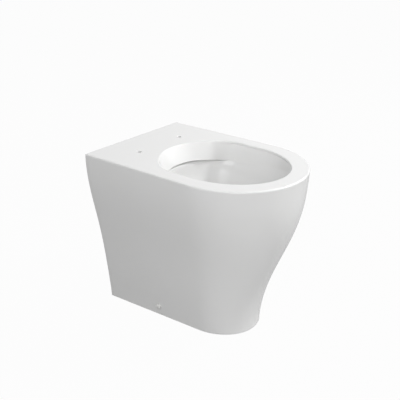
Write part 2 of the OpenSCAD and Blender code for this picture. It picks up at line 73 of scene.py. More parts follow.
def ease(share: float) -> float:
    """Returns a share, held to 0 and 1, that starts and ends gently."""
    held = min(1.0, max(0.0, share))
    return held * held * (3 - 2 * held)


def curve(controls: Sequence[float], share: float) -> float:
    """Finds a value on the smooth curve through a row of control values.

    Args:
        controls: The control values, from the start of the curve to its end.
        share: How far along the curve, from 0 to 1.

    Returns:
        The curve's value there.
    """
    row = list(controls)
    while len(row) > 1:
        row = [mix(a, b, share) for a, b in zip(row, row[1:])]
    return row[0]


def quarter_round(steps: int, last: float = math.pi / 2) -> list[Point]:
    """Lists the points of a quarter round, as shares of its radius.

    Args:
        steps: How many steps the rounding has.
        last: The angle that it turns through.

    Returns:
        For each point, how far inside the face that the rounding ends on it lies, and how far
        inside the face that it starts on.
    """
    turns = [last * k / steps for k in range(steps + 1)]
    return [(1 - math.sin(turn), 1 - math.cos(turn)) for turn in turns]


def linear(colour: str) -> tuple[float, float, float, float]:
    """Turns a written sRGB colour into the linear one that a shader takes.

    Args:
        colour: Six hex digits after a hash sign.

    Returns:
        Red, green, blue and alpha.
    """
    parts = [int(colour[i : i + 2], 16) / 255 for i in (1, 3, 5)]
    red, green, blue = (p / 12.92 if p <= 0.04045 else ((p + 0.055) / 1.055) ** 2.4 for p in parts)
    return red, green, blue, 1.0


# ---- The pan's outlines ----


@dataclass(frozen=True)
class PanShape:
    """The pan's outlines, with its sizes."""

    width: float = 0.350
    depth: float = 0.510
    height: float = 0.430
    foot_width: float = 0.226
    foot_depth: float = 0.400
    edge: float = 0.004
    deck: float = 0.014
    wall_corner: float = 0.005
    corner_steps: int = 4
    flange_fade: float = 1.5
    nose_share: float = 0.85
    foot_nose: float = 0.725
    rim_nose: float = 0.637
    side_flare: tuple[float, ...] = (0, 0.05, 0.37, 0.17, 0.81, 1, 1)
    nose_flare: tuple[float, ...] = (0, 0, 0.21, 0.46, 1.06, 0.94, 1)

    @property
    def wall(self) -> float:
        """Returns the y of the wall."""
        return self.depth / 2

    @property
    def deck_low(self) -> float:
        """Returns the height of the deck's underside."""
        return self.height - self.deck

    def at(self, x: float, d: float, z: float) -> Vector:
        """Returns the place of a point given by its distance from the wall."""
        return Vector((x, self.wall - d, z))

    def climb(self, z: float) -> float:
        """Returns how far a height is up the side, from 0 to 1."""
        return min(1.0, max(0.0, z / (self.height - self.edge)))

    def side_half(self, z: float) -> float:
        """Returns half the width at the wall."""
        return mix(self.foot_width, self.width, curve(self.side_flare, self.climb(z))) / 2

    def nose_half(self, z: float) -> float:
        """Returns half the width of the nose's ellipse."""
        return self.side_half(z) * mix(self.nose_share, 1, self.climb(z))

    def nose_tip(self, z: float) -> float:
        """Returns how far the tip stands out from the wall."""
        return mix(self.foot_depth, self.depth, curve(self.nose_flare, self.climb(z)))

    def nose_mid(self, z: float) -> float:
        """Returns how far out the middle of the nose's ellipse lies."""
        return mix(self.foot_nose * self.foot_depth, self.rim_nose * self.depth, self.climb(z))

    def nose(self, z: float, inset: float) -> tuple[float, float, float]:
        """Finds the nose's ellipse and where the straight side touches it.

        Args:
            z: The height.
            inset: How far inside the pan's surface.

        Returns:
            Half the ellipse's width, its length and the angle of the touching point.
        """
        half = self.side_half(z) - inset
        across = self.nose_half(z) - inset
        along = self.nose_tip(z) - self.nose_mid(z) - inset
        slope_x, slope_d = half / across, self.nose_mid(z) / along
        angle = math.acos(1 / math.hypot(slope_x, slope_d)) - math.atan2(slope_d, slope_x)
        return across, along, angle

    def touch(self, z: float, inset: float) -> Point:
        """Returns the point where the straight side meets the nose."""
        across, along, angle = self.nose(z, inset)
        return across * math.cos(angle), self.nose_mid(z) + along * math.sin(angle)

    def side_x(self, z: float, d: float, inset: float = 0.0) -> float:
        """Returns half the width at a height and a distance from the wall."""
        x, reach = self.touch(z, inset)
        return mix(self.side_half(z) - inset, x, d / reach)

    def right_side(self, z: float, steps: int) -> list[Point]:
        """Lists the right side from the rounded corner at the wall to the nose.

        Args:
            z: The height.
            steps: How many steps the straight part has.

        Returns:
            Points as (x, d).
        """
        r = self.wall_corner
        corner_x = self.side_x(z, r)
        corner = [(corner_x - r * a, r * b) for a, b in quarter_round(self.corner_steps)]
        reach = self.touch(z, 0)[1]
        straight = [mix(r, reach, k / steps) for k in range(1, steps + 1)]
        return corner + [(self.side_x(z, d), d) for d in straight]

    def right_inside(self, z: float, steps: int, inset: float, flange: Point) -> list[Point]:
        """Lists the inside of the right side, from its flange at the wall to the nose.

        Args:
            z: The height.
            steps: How many steps the part past the flange has.
            inset: The thickness of the wall.
            flange: The flange's width and thickness.

        Returns:
            Points as (x, d).
        """
        flange_x = self.side_half(z) - flange[0]
        start = flange[1] * self.flange_fade
        reach = self.touch(z, inset)[1]
        rows = self.corner_steps
        lip = [(flange_x, flange[1] * k / rows) for k in range(rows + 1)]
        straight = [mix(start, reach, (k - 1) / (steps - 1)) for k in range(1, steps + 1)]
        return lip + [(self.side_x(z, d, inset), d) for d in straight]

    def round_nose(self, z: float, inset: float, steps: int) -> list[Point]:
        """Lists the nose between its two sides, from right to left.

        Args:
            z: The height.
            inset: How far inside the pan's surface.
            steps: How many steps the nose has.

        Returns:
            Points as (x, d), without the points that the sides end on.
        """
        across, along, angle = self.nose(z, inset)
        turns = [mix(angle, math.pi - angle, k / steps) for k in range(1, steps)]
        return [(across * math.cos(t), self.nose_mid(z) + along * math.sin(t)) for t in turns]


@dataclass(frozen=True)
class Oval:
    """A closed outline: half ellipses at the back and the front, and straight sides.

    The pinch is the share by which the back's two shoulders are drawn in.
    """

    half: float
    back: float
    back_mid: float
    front_mid: float
    front: float
    pinch: float = 0.0

    def grown(self, grow: float) -> "Oval":
        """Returns the outline moved out by a distance, or in where it is negative."""
        return replace(self, half=self.half + grow, back=self.back - grow, front=self.front + grow)

    def toward(self, other: "Oval", share: float) -> "Oval":
        """Returns the outline at a share of the way to another one."""
        return Oval(*(mix(a, b, share) for a, b in zip(astuple(self), astuple(other))))


@dataclass(frozen=True)
class Station:
    """A place round an oval.

    The angle is 0 at the right, 90 degrees at the front and 270 at the back.
    """

    turn: float
    even_turn: float
    back_share: float

    def point(self, oval: Oval, spread: float = 0.0) -> Point:
        """Finds this station on an oval.

        Args:
            oval: The outline.
            spread: From 0, where the straight sides hold their own stations, to 1, where all
                stations lie evenly round a circle.

        Returns:
            The point as (x, d).
        """
        angle = mix(self.turn, self.even_turn, spread)
        mid = mix(oval.front_mid, oval.back_mid, self.back_share)
        rise = math.sin(angle)
        if rise >= 0:
            return oval.half * math.cos(angle), mid + (oval.front - oval.front_mid) * rise
        drawn = 1 - oval.pinch * math.sin(2 * angle) ** 2
        return oval.half * math.cos(angle) * drawn, mid + (oval.back_mid - oval.back) * rise * drawn


def oval_stations(ends: int, sides: int) -> list[Station]:
    """Lists the stations round an oval, from the right over the front, the left and the back.

    Args:
        ends: How many steps each half ellipse has.
        sides: How many stations stand on each straight side.

    Returns:
        The stations, in order.
    """
    count = 2 * (ends + 1 + sides)
    front = [(math.pi * k / ends, 0.0) for k in range(ends + 1)]
    left = [(math.pi, k / (sides + 1)) for k in range(1, sides + 1)]
    back = [(math.pi * (1 + k / ends), 1.0) for k in range(ends + 1)]
    right = [(2 * math.pi, 1 - k / (sides + 1)) for k in range(1, sides + 1)]
    first = math.pi / 2 - (ends / 2) * 2 * math.pi / count
    return [
        Station(turn, first + 2 * math.pi * i / count, share)
        for i, (turn, share) in enumerate(front + left + back + right)
    ]


# ---- Growing and turning meshes ----


class Skin(Enum):
    """Which of a china piece's two finishes a face has."""

    GLAZED = 0
    BARE = 1


def row_edges(bm: BMesh, verts: Sequence[BMVert]) -> list[BMEdge]:
    """Returns the edges that join a row of vertices, in order."""
    return [bm.edges.get(pair) for pair in zip(verts, verts[1:])]


def extrude_row(
    bm: BMesh, verts: Sequence[BMVert], edges: Sequence[BMEdge], points: Sequence[Vector]
) -> list[BMVert]:
    """Extrudes a row of edges and draws the new row out to the points.

    Args:
        bm: The mesh that the row is in.
        verts: The row's vertices, in order.
        edges: The row's edges.
        points: Where the new vertices lie, in the same order.

    Returns:
        The new vertices.
    """
    made = bmesh.ops.extrude_edge_only(bm, edges=edges)["geom"]
    fresh = {part for part in made if isinstance(part, BMVert)}
    row = [next(e.other_vert(v) for e in v.link_edges if e.other_vert(v) in fresh) for v in verts]
    for vert, point in zip(row, points):
        vert.co = point
    return row


class RingLoft:
    """A surface that grows ring by ring from a closed ring of vertices."""

    def __init__(self, bm: BMesh, verts: Sequence[BMVert]) -> None:
        """Starts from vertices that are already joined in a ring.

        Args:
            bm: The mesh that the surface grows in.
            verts: The ring, in order.
        """
        self.bm = bm
        self.verts = list(verts)

    @classmethod
    def started(cls, bm: BMesh, points: Sequence[Vector]) -> "RingLoft":
        """Starts a surface from a new circle that is drawn out to the points.

        Args:
            bm: The mesh that the surface grows in.
            points: Where the ring's vertices lie, in order.

        Returns:
            The surface, with its first ring.
        """
        count = len(points)
        made = bmesh.ops.create_circle(bm, cap_ends=False, segments=count, radius=1.0)["verts"]
        ring = sorted(made, key=lambda vert: math.atan2(vert.co.y, vert.co.x))
        for vert, point in zip(ring, points):
            vert.co = point
        return cls(bm, ring)

    @property
    def edges(self) -> list[BMEdge]:
        """Returns the last ring's edges, in order."""
        return row_edges(self.bm, self.verts + self.verts[:1])

    def grow(self, points: Sequence[Vector], skins: Sequence[Skin] | None = None) -> None:
        """Extrudes the last ring and draws the new one out to the points.

        Args:
            points: Where the new ring's vertices lie, in order.
            skins: The finish of the face on each edge of the ring, or None for glazed all round.
        """
        old_edges = self.edges
        self.verts = extrude_row(self.bm, self.verts, old_edges, points)
        if skins:
            for old, new, skin in zip(old_edges, self.edges, skins):
                for face in set(old.link_faces) & set(new.link_faces):
                    face.material_index = skin.value

    def grow_all(self, rings: Iterable[Sequence[Vector]], skins: Sequence[Skin] | None = None) -> None:
        """Grows ring after ring, each with the same finishes."""
        for ring in rings:
            self.grow(ring, skins)


def plan_normals(points: Sequence[Vector]) -> list[Vector]:
    """Finds the level direction out of a ring at each of its points.

    Args:
        points: A ring that runs clockwise, seen from above.

    Returns:
        Unit vectors that point outwards.
    """
    around = list(points)
    pairs = zip(around[-1:] + around[:-1], around[1:] + around[:1])
    return [Vector((a.y - b.y, b.x - a.x, 0)).normalized() for a, b in pairs]


def ring_points(
    centre: Vector, across: Vector, up: Vector, radius: float, count: int, corners: int = 0
) -> list[Vector]:
    """Lists points round a circle or an even polygon.

    Args:
        centre: The ring's middle.
        across: Unit vector to the first point, which is the middle of a polygon's first side.
        up: Unit vector a quarter turn further.
        radius: The distance from the middle to the circle or to each of the polygon's sides.
        count: How many points there are, for a polygon a multiple of twice its corners.
        corners: How many corners the polygon has, or 0 for a circle.

    Returns:
        The points, in order.
    """
    points = []
    for k in range(count):
        turn, reach = 2 * math.pi * k / count, radius
        if corners:
            half = math.pi / corners
            reach /= math.cos((turn + half) % (2 * half) - half)
        points.append(centre + reach * (math.cos(turn) * across + math.sin(turn) * up))
    return points


def turned(
    bm: BMesh, profile: Sequence[Point], centre: Vector, axis: Vector, steps: int
) -> None:
    """Spins a profile into a round piece.

    Args:
        bm: The mesh that takes the piece.
        profile: Points as (distance along the axis, radius). It starts and ends on the axis, or
            else it is closed into a ring.
        centre: Where the axis starts.
        axis: Unit vector along the axis.
        steps: How many steps a full turn has.
    """
    across = axis.orthogonal().normalized()
    verts = [bm.verts.new(centre + along * axis + radius * across) for along, radius in profile]
    edges = [bm.edges.new(pair) for pair in zip(verts, verts[1:])]
    if profile[0][1] > 0:
        edges.append(bm.edges.new((verts[-1], verts[0])))
    bmesh.ops.spin(
        bm, geom=verts + edges, cent=centre, axis=axis, angle=2 * math.pi, steps=steps, use_merge=True
    )


def rounded(profile: Sequence[Point], radius: float, steps: int = 4) -> list[Point]:
    """Rounds every corner of a closed profile.

    Args:
        profile: The corners, in order.
        radius: The rounding, less than half of the shortest side.
        steps: How many steps each corner has.

    Returns:
        The rounded profile.
    """
    corners = [Vector(p) for p in profile]
    out: list[Point] = []
    befores, afters = corners[-1:] + corners[:-1], corners[1:] + corners[:1]
    for before, corner, after in zip(befores, corners, afters):
        start = corner + (before - corner).normalized() * radius
        end = corner + (after - corner).normalized() * radius
        for k in range(steps + 1):
            share = k / steps
            point = (1 - share) ** 2 * start + 2 * share * (1 - share) * corner + share**2 * end
            out.append((point.x, point.y))
    return out


# Points this near each other are one, and faces this thin are none.
SAME_PLACE = 1e-6
NO_WIDTH = 1e-7


def finish_mesh(bm: BMesh, name: str, crease: float = 38.0) -> bpy.types.Object:
    """Closes a mesh's doubles, turns its faces outwards, shades it and makes it an object.

    Args:
        bm: The mesh, which is freed.
        name: The piece's name.
        crease: Edges that turn more than this many degrees stay crisp.

    Returns:
        The new object.
    """
    bmesh.ops.remove_doubles(bm, verts=bm.verts, dist=SAME_PLACE)
    bmesh.ops.dissolve_degenerate(bm, dist=NO_WIDTH, edges=bm.edges)
    bmesh.ops.recalc_face_normals(bm, faces=bm.faces)
    limit = math.radians(crease)
    for face in bm.faces:
        face.smooth = True
    for edge in bm.edges:
        edge.smooth = not (len(edge.link_faces) == 2 and edge.calc_face_angle(0.0) > limit)
    mesh = bpy.data.meshes.new(name)
    bm.to_mesh(mesh)
    bm.free()
    piece = bpy.data.objects.new(name, mesh)
    bpy.context.scene.collection.objects.link(piece)
    return piece


# ---- Finishes ----


def add_node(
    tree: bpy.types.NodeTree,
    kind: str,
    settings: Mapping[str, object] | None = None,
    inputs: Mapping[str | int, object] | None = None,
) -> bpy.types.Node:
    """Adds a node with its settings, values and links.

    Args:
        tree: The tree that takes the node.
        kind: The node's type.
        settings: The node's own properties.
        inputs: For each input, a value to set or another node's output to link.

    Returns:
        The new node.
    """
    node = tree.nodes.new(kind)
    for name, value in (settings or {}).items():
        setattr(node, name, value)
    for key, value in (inputs or {}).items():
        if isinstance(value, bpy.types.NodeSocket):
            tree.links.new(value, node.inputs[key])
        else:
            node.inputs[key].default_value = value
    return node


def blank_material(name: str) -> bpy.types.Material:
    """Returns a new material whose node tree is empty."""
    material = bpy.data.materials.new(name)
    material.use_nodes = True
    material.node_tree.nodes.clear()
    return material


@dataclass(frozen=True)
class SurfaceFinish:
    """A solid's finish: two close tones, a fine relief and a roughness that varies a little.

    The tone, relief and roughness patterns each follow noise on the object's own coordinates, at
    the real size that is given for it.
    """

    name: str
    tone: str
    second_tone: str
    tone_size: float
    relief: float
    relief_size: float
    roughness: float
    roughness_range: float
    metallic: float = 0.0
    specular: float = 0.5

    def noise(self, tree: bpy.types.NodeTree, size: float, detail: float) -> bpy.types.NodeSocket:
        """Adds a noise pattern whose features have a real size.

        Args:
            tree: The tree that takes the nodes.
            size: The features' size in metres.
            detail: How many finer layers the pattern has.

        Returns:
            The pattern's value.
        """
        place = add_node(tree, "ShaderNodeTexCoord").outputs["Object"]
        settings = {"noise_dimensions": "3D"}
        inputs = {"Vector": place, "Scale": 1 / size, "Detail": detail}
        return add_node(tree, "ShaderNodeTexNoise", settings, inputs).outputs["Fac"]

    def made(self) -> bpy.types.Material:
        """Makes the material.

        Returns:
            The material, with its own node tree.
        """
        material = blank_material(self.name)
        tree = material.node_tree
        patches = self.noise(tree, self.tone_size, 3.0)
        colours = {0: patches, 6: linear(self.tone), 7: linear(self.second_tone)}
        tones = add_node(tree, "ShaderNodeMix", {"data_type": "RGBA"}, colours)
        half = self.roughness_range / 2
        range_ends = {
            "Value": self.noise(tree, self.tone_size / 3, 2.0),
            "To Min": self.roughness - half,
            "To Max": self.roughness + half,
        }
        dullness = add_node(tree, "ShaderNodeMapRange", None, range_ends)
        relief = {
            "Height": self.noise(tree, self.relief_size, 2.0),
            "Distance": self.relief,
            "Strength": 1.0,
        }
        bump = add_node(tree, "ShaderNodeBump", None, relief)
        surface = {
            "Base Color": tones.outputs[2],
            "Metallic": self.metallic,
            "Roughness": dullness.outputs[0],
            "Specular IOR Level": self.specular,
            "Normal": bump.outputs[0],
        }
        shader = add_node(tree, "ShaderNodeBsdfPrincipled", None, surface)
        add_node(tree, "ShaderNodeOutputMaterial", None, {"Surface": shader.outputs[0]})
        return material


# Glaze is poured and fired, so it lies a little wavy over the body: the colour hardly changes, and
# only broad soft reflections bend.
GLAZED_CHINA = SurfaceFinish(
    name="glazed_vitreous_china",
    tone="#f1f1f1",
    second_tone="#efefee",
    tone_size=0.09,
    relief=0.00002,
    relief_size=0.030,
    roughness=0.05,
    roughness_range=0.03,
)
# Where the pan is hidden its fired body is bare: warmer, matt and faintly sandy from the mould.
BARE_CHINA = SurfaceFinish(
    name="unglazed_vitreous_china",
    tone="#e9e5db",
    second_tone="#dfdacd",
    tone_size=0.045,
    relief=0.00012,
    relief_size=0.0016,
    roughness=0.82,
    roughness_range=0.12,
    specular=0.3,
)
# Moulded polypropylene is near white and half glossy, with a fine bloom from its polished tool.
MOULDED_POLYPROPYLENE = SurfaceFinish(
    name="moulded_polypropylene",
    tone="#f3f3f1",
    second_tone="#eeeeec",
    tone_size=0.006,
    relief=0.00001,
    relief_size=0.0007,
    roughness=0.32,
    roughness_range=0.08,
)
# Glass filled nylon shows a dull grain, and paler flow marks where the melt met.
GLASS_FILLED_NYLON = SurfaceFinish(
    name="glass_filled_nylon",
    tone="#8d9194",
    second_tone="#7f8487",
    tone_size=0.012,
    relief=0.00003,
    relief_size=0.0006,
    roughness=0.55,
    roughness_range=0.16,
)
# Zinc plate is bright but cloudy: the grains of the plating scatter its shine.
ZINC_PLATED_STEEL = SurfaceFinish(
    name="zinc_plated_steel",
    tone="#c3c6c9",
    second_tone="#a9adb2",
    tone_size=0.003,
    relief=0.00001,
    relief_size=0.0005,
    roughness=0.34,
    roughness_range=0.16,
    metallic=1.0,
)
# Moulded rubber is near black and matt, with a grey bloom where its wax comes out.
MOULDED_RUBBER = SurfaceFinish(
    name="moulded_epdm_rubber",
    tone="#29292b",
    second_tone="#343436",
    tone_size=0.008,
    relief=0.00002,
    relief_size=0.0005,
    roughness=0.68,
    roughness_range=0.14,
)


class Finishes:
    """The object's materials, each made once."""

    def __init__(self) -> None:
        """Makes every finish."""
        self.glazed = GLAZED_CHINA.made()
        self.bare = BARE_CHINA.made()
        self.white = MOULDED_POLYPROPYLENE.made()
        self.nylon = GLASS_FILLED_NYLON.made()
        self.zinc = ZINC_PLATED_STEEL.made()
        self.rubber = MOULDED_RUBBER.made()


def dress(piece: bpy.types.Object, materials: Sequence[bpy.types.Material]) -> None:
    """Gives a piece its materials, in the order of its faces' indexes.

    Args:
        piece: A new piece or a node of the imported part.
        materials: The materials.
    """
    piece.data.materials.clear()
    for material in materials:
        piece.data.materials.append(material)


# ---- The china pan ----


@dataclass
class ChinaPan:
    """Deck, rim, curtain, bowl and skirt as one glazed surface.

    A share runs from 0 to 1. Ends such as lean_ends are degrees round the back from the straight
    side, where a change starts and where it is complete.
    """

    shape: PanShape
    mouth: Oval = Oval(0.133, 0.135, 0.245, 0.310, 0.467, pinch=0.045)
    mouth_edge: float = 0.003
    undercut: float = 0.004
    undercut_drop: float = 0.005
    # The flush curtain at the back, its lip and the chamber behind it
    chamber_back: float = 0.112
    chamber_gap: float = 0.002
    lip_z: float = 0.386
    lip_end_z: float = 0.375
    lip_ends: float = 20.0
    lip_round: float = 0.002
    lip_gap: float = 0.0015
    lip_rows: int = 8
    lean: float = 0.020
    lean_ends: tuple[float, float] = (15.0, 50.0)
    curtain_t: float = 0.009
    curtain_end_t: float = 0.003
    curtain_end: tuple[float, float] = (12.0, 30.0)
    curtain_rows: int = 12
    curtain_back_rows: int = 6
    ceiling_shares: tuple[float, ...] = (0.12, 0.5, 0.88)
    chamber_rows: int = 9
    mouth_rows: int = 7
    # The shelf under the rim, and the band where it is softened into the bowl
    shelf_top: float = 0.375
    shelf_low: float = 0.346
    shelf_inset: float = 0.026
    shelf_fall: float = 1.3
    shelf_reach: float = 0.040
    shelf_round: float = 7.0
    shelf_climb: tuple[float, float] = (0.13, 0.5)
    shelf_climb_d: float = 0.250
    shelf_highest: float = 0.412
    shelf_rows: int = 16
    soft_band: Point = (0.322, 0.362)
    soft_rounds: int = 10
    clear_side: float = 0.020
    clear_front: float = 0.030
    clear_back: float = 0.1
    straight_d: float = 0.3
    # The bowl down to the sump, and its outside back up to the deck
    back_rise: tuple[float, ...] = (0, 0, 0, 0.2, 0.8, 1)
    bowl_t: float = 0.009
    bowl_side: float = 0.6
    bowl_front: float = 0.75
    bowl_rows: int = 34
    bowl_crowd: float = 1.5
    bowl_spread: float = 2.5
    bowl_steps: tuple[int, int] = (56, 20)
    back_rows: int = 16
    back_crowd: float = 1.3
    back_sag: float = 0.006
    back_joins: tuple[float, ...] = (0.3, 0.6, 0.8, 0.93, 1.0)
    back_heights: tuple[float, ...] = (0.380, 0.392, 0.404)
    sump_d: float = 0.275
    sump_r: float = 0.030
    sump_z: float = 0.197
    sump_ease: float = 0.024
    # The skirt, its flanges and the deck's outer edge
    skirt_t: float = 0.012
    skirt_low: float = 0.004
    flange_ease: float = 0.008
    foot_flange: Point = (0.022, 0.010)
    wall_flange: Point = (0.024, 0.012)
    foot_round: float = 0.0015
    back_round: float = 0.002
    back_ease: float = 0.006
    back_steps: int = 16
    edge_drops: Point = (0.005, 0.001)
    edge_rows: int = 8
    # The seat holes, the side fixing holes and the flush window
    seat_pitch: float = 0.155
    seat_d: float = 0.093
    seat_hole_r: float = 0.0055
    seat_hole_round: float = 0.0016
    seat_hole_chamfer: Point = (0.0006, 0.002)
    seat_hole_rows: int = 5
    seat_hole_sides: int = 40
    fixing_d: float = 0.170
    fixing_z: float = 0.025
    fixing_r: float = 0.005
    fixing_sides: int = 48
    fixing_patch: Point = (0.016, 0.003)
    spot_r: float = 0.0085
    spot_depth: float = 0.0012
    spot_round: float = 0.0006
    spot_turns: tuple[float, ...] = (0.35, 0.7, 1.0)
    spot_wall: float = 0.8
    spot_corner: Point = (0.0003, 0.0013)
    hole_chamfer: Point = (0.0008, 0.0005)
    hole_back: Point = (0.0004, 0.003)
    window: Point = (0.060, 0.024)
    window_z: float = 0.392
    window_slack: float = 0.001
    window_patch: Point = (0.0015, 0.004)
    # Steps of the skirt, and the flat band beside a rounding that keeps the deck's shading flat
    side_steps: int = 26
    nose_steps: int = 56
    skirt_rows: int = 64
    hold: float = 0.001
    bm: BMesh = field(default_factory=bmesh.new)

    def build(self) -> bpy.types.Object:
        """Builds the whole pan.

        Returns:
            The finished piece.
        """
        skirt = self.grow_skirt()
        deck_ring, back_edges = self.grow_deck_edge(skirt)
        bowl_top, bowl_low = self.grow_bowl()
        seats = [self.grow_seat_hole(side) for side in SIDES]
        self.fill(deck_ring + bowl_top + [e for top, _ in seats for e in top], Skin.GLAZED)
        inside = skirt.edges[self.chain_count :][: self.chain_count - 1]
        self.fill(inside + back_edges + bowl_low + [e for _, low in seats for e in low], Skin.BARE)
        self.open_window()
        for side in SIDES:
            self.open_fixing(side)
        return finish_mesh(self.bm, "china_pan")

    def dress(self, piece: bpy.types.Object, finishes: Finishes) -> None:
        """Dresses the pan and lets it stand for its castings."""
        dress(piece, [finishes.glazed, finishes.bare])
        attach(piece, "root")
        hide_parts("china_rim", "china_skirt", "china_bowl", "china_sump")

    @property
    def chain_count(self) -> int:
        """Returns how many points the outside has from one corner at the wall to the other."""
        return 2 * (self.shape.corner_steps + 1 + self.side_steps) + self.nose_steps - 1

    def both_sides(self, right: Sequence[Point], nose: Sequence[Point], z: float) -> list[Vector]:
        """Lists the points of the right side, the nose and the mirrored right side at a height."""
        left = [(-x, d) for x, d in reversed(right)]
        return [self.shape.at(x, d, z) for x, d in [*right, *nose, *left]]

    def outside(self, z: float, inset: float = 0.0) -> list[Vector]:
        """Lists the outside at a height, from the wall's right round the nose to its left.

        Args:
            z: The height.
            inset: How far inside the surface, where an edge is rounded.

        Returns:
            The points, chain_count of them.
        """
        right = self.shape.right_side(z, self.side_steps)
        ring = self.both_sides(right, self.shape.round_nose(z, 0.0, self.nose_steps), z)
        if not inset:
            return ring
        pulled = [p - n * inset for p, n in zip(ring, plan_normals(ring))]
        pulled[0], pulled[-1] = ring[0] - inset * ACROSS, ring[-1] + inset * ACROSS
        return pulled

    def inside(self, z: float, inset: float) -> list[Vector]:
        """Lists the skirt's inside at a height, from the right round the nose to the left."""
        right = self.shape.right_inside(z, self.side_steps, inset, self.wall_flange)
        return self.both_sides(right, self.shape.round_nose(z, inset, self.nose_steps), z)

    def run_line(self, first: BMVert, points: Sequence[Vector]) -> list[BMVert]:
        """Extrudes a vertex through a row of points.

        Args:
            first: The vertex that the line starts from.
            points: Where the line goes.

        Returns:
            The line's vertices, with the first one.
        """
        line = [first]
        for point in points:
            made = bmesh.ops.extrude_vert_indiv(self.bm, verts=[line[-1]])["verts"][0]
            made.co = point
            line.append(made)
        return line

    def wall_t(self, z: float) -> float:
        """Returns the skirt's thickness, which eases from the foot's flange to the wall."""
        rise = (z - self.foot_flange[1]) / self.flange_ease
        return mix(self.foot_flange[0], self.skirt_t, ease(rise))

    def grow_skirt(self) -> RingLoft:
        """Grows the skirt from the sole of its foot up to the deck's underside.

        Returns:
            The surface, whose last ring runs round the outside and back along the inside.
        """
        sole = self.outside(0.0, self.foot_round)
        first = bmesh.ops.create_vert(self.bm, co=sole[0])["vert"][0]
        chain = self.run_line(first, sole[1:])
        foot = self.inside(0.0, self.foot_flange[0])
        inner = extrude_row(self.bm, chain, row_edges(self.bm, chain), foot)
        for face in self.bm.faces:
            face.material_index = Skin.BARE.value
        skirt = RingLoft(self.bm, chain + inner[::-1])
        skins = [Skin.GLAZED] * (self.chain_count - 1) + [Skin.BARE] * (self.chain_count + 1)
        r, top, steps = self.foot_round, self.shape.deck_low, self.skirt_rows
        rows = [(r * share, r * (1 - math.sqrt(1 - (1 - share) ** 2))) for share in (0.2, 0.6, 1.0)]
        rows += [(mix(self.skirt_low, top, k / steps), 0.0) for k in range(steps + 1)]
        for z, pull in rows:
            skirt.grow(self.outside(z, pull) + self.inside(z, self.wall_t(z))[::-1], skins)
        return skirt

    def grow_deck_edge(self, skirt: RingLoft) -> tuple[list[BMEdge], list[BMEdge]]:
        """Grows the deck's rounded outer edge from the top of the skirt.

        Args:
            skirt: The skirt, up to the deck's underside.

        Returns:
            The edges that bound the deck, and those of its underside along the wall.
        """
        count = self.chain_count
        outer, inner = skirt.verts[:count], skirt.verts[count:]
        left_end, right_end, steps = inner[0], inner[-1], self.back_steps
        between = [left_end.co.lerp(right_end.co, k / steps) for k in range(1, steps)]
        back = self.run_line(left_end, between)
        self.bm.edges.new((back[-1], right_end))
        back.append(right_end)
        back_edges = row_edges(self.bm, back)
        ring = RingLoft(self.bm, outer + back)
        along_wall = [v.co.x for v in back]
        top, edge = self.shape.height, self.shape.edge

        def level(z: float) -> list[Vector]:
            """Lists the deck's outline at a height."""
            return self.outside(z) + [self.shape.at(x, 0.0, z) for x in along_wall]

        ring.grow_all(level(top - edge - drop) for drop in self.edge_drops)
        base = level(top - edge)
        ring.grow(base)
        shares = [ease((self.shape.wall - p.y) / self.back_ease) for p in base]
        radii = [mix(self.back_round, edge, share) for share in shares]
        corners = list(zip(level(top), plan_normals(base), radii))
        for away, fallen in quarter_round(self.edge_rows)[1:]:
            ring.grow([p - n * r * fallen - UP * (r * away) for p, n, r in corners])
        ring.grow([p - n * (r + self.hold) for p, n, r in corners])
        return ring.edges, back_edges

    # The bowl's wall, from the deck's inner edge down to the sump

    def wall_oval(self, z: float) -> Oval:
        """Returns the bowl's inner outline under the rim, down to the shelf's foot."""
        whole = replace(self.mouth.grown(self.undercut), back=self.chamber_back, pinch=0.0)
        return self.shelf_oval(whole, (self.shelf_top - z) / (self.shelf_top - self.shelf_low))

    def shelf_oval(self, whole: Oval, share: float) -> Oval:
        """Finds the shelf's outline, which leans in all round and steps out under the curtain.

        Args:
            whole: The wall's outline over the shelf.
            share: How far down the shelf, from 0 to 1.

        Returns:
            The outline there.
        """
        fall = min(1.0, max(0.0, share))
        narrow = whole.grown(-self.shelf_inset * fall**self.shelf_fall)
        out = (1 - (1 - fall) ** self.shelf_round) ** (1 / self.shelf_round)
        return replace(narrow, back=self.chamber_back + self.shelf_reach * out)

    def shelf_edge(self, station: Station) -> float:
        """Finds the height of the shelf's upper edge, which climbs to the front and to the lip.

        Args:
            station: The place round the bowl.

        Returns:
            The height.
        """
        if self.off_side(station):
            return max(self.shelf_top, self.lip_low(station) - self.lip_gap)
        past = max(0.0, station.point(self.mouth)[1] - self.shelf_climb_d)
        slope, bend = self.shelf_climb
        climb = slope * past + bend * past * past
        room = self.shelf_highest - self.shelf_top
        return self.shelf_top + room * (1 - math.exp(-climb / room))

    def low_oval(self, share: float) -> Oval:
        """Finds the bowl's inner outline below the shelf.

        Args:
            share: The share of the way from the sump to the shelf's foot.

        Returns:
            The outline there.
        """
        top, middle, r = self.wall_oval(self.shelf_low), self.sump_d, self.sump_r
        return Oval(
            mix(r, top.half, share**self.bowl_side),
            mix(middle - r, top.back, curve(self.back_rise, share)),
            mix(middle, top.back_mid, share),
            mix(middle, top.front_mid, share),
            mix(middle + r, top.front, share**self.bowl_front),
        )

    def off_side(self, station: Station) -> float:
        """Finds how far round the back a station lies from the straight side.

        Args:
            station: The place round the bowl.

        Returns:
            Degrees, from 0 at the side to 90 at the middle of the back.
        """
        if station.turn <= math.pi or station.back_share < 1:
            return 0.0
        return 90 - abs(math.degrees(station.turn) - 270)

    def grown_in(self, station: Station, ends: tuple[float, float]) -> float:
        """Finds how far a change round the back has come at a station.

        Args:
            station: The place round the bowl.
            ends: How many degrees off the straight side the change starts and ends.

        Returns:
            A share from 0 to 1.
        """
        start, full = ends
        return ease((self.off_side(station) - start) / (full - start))

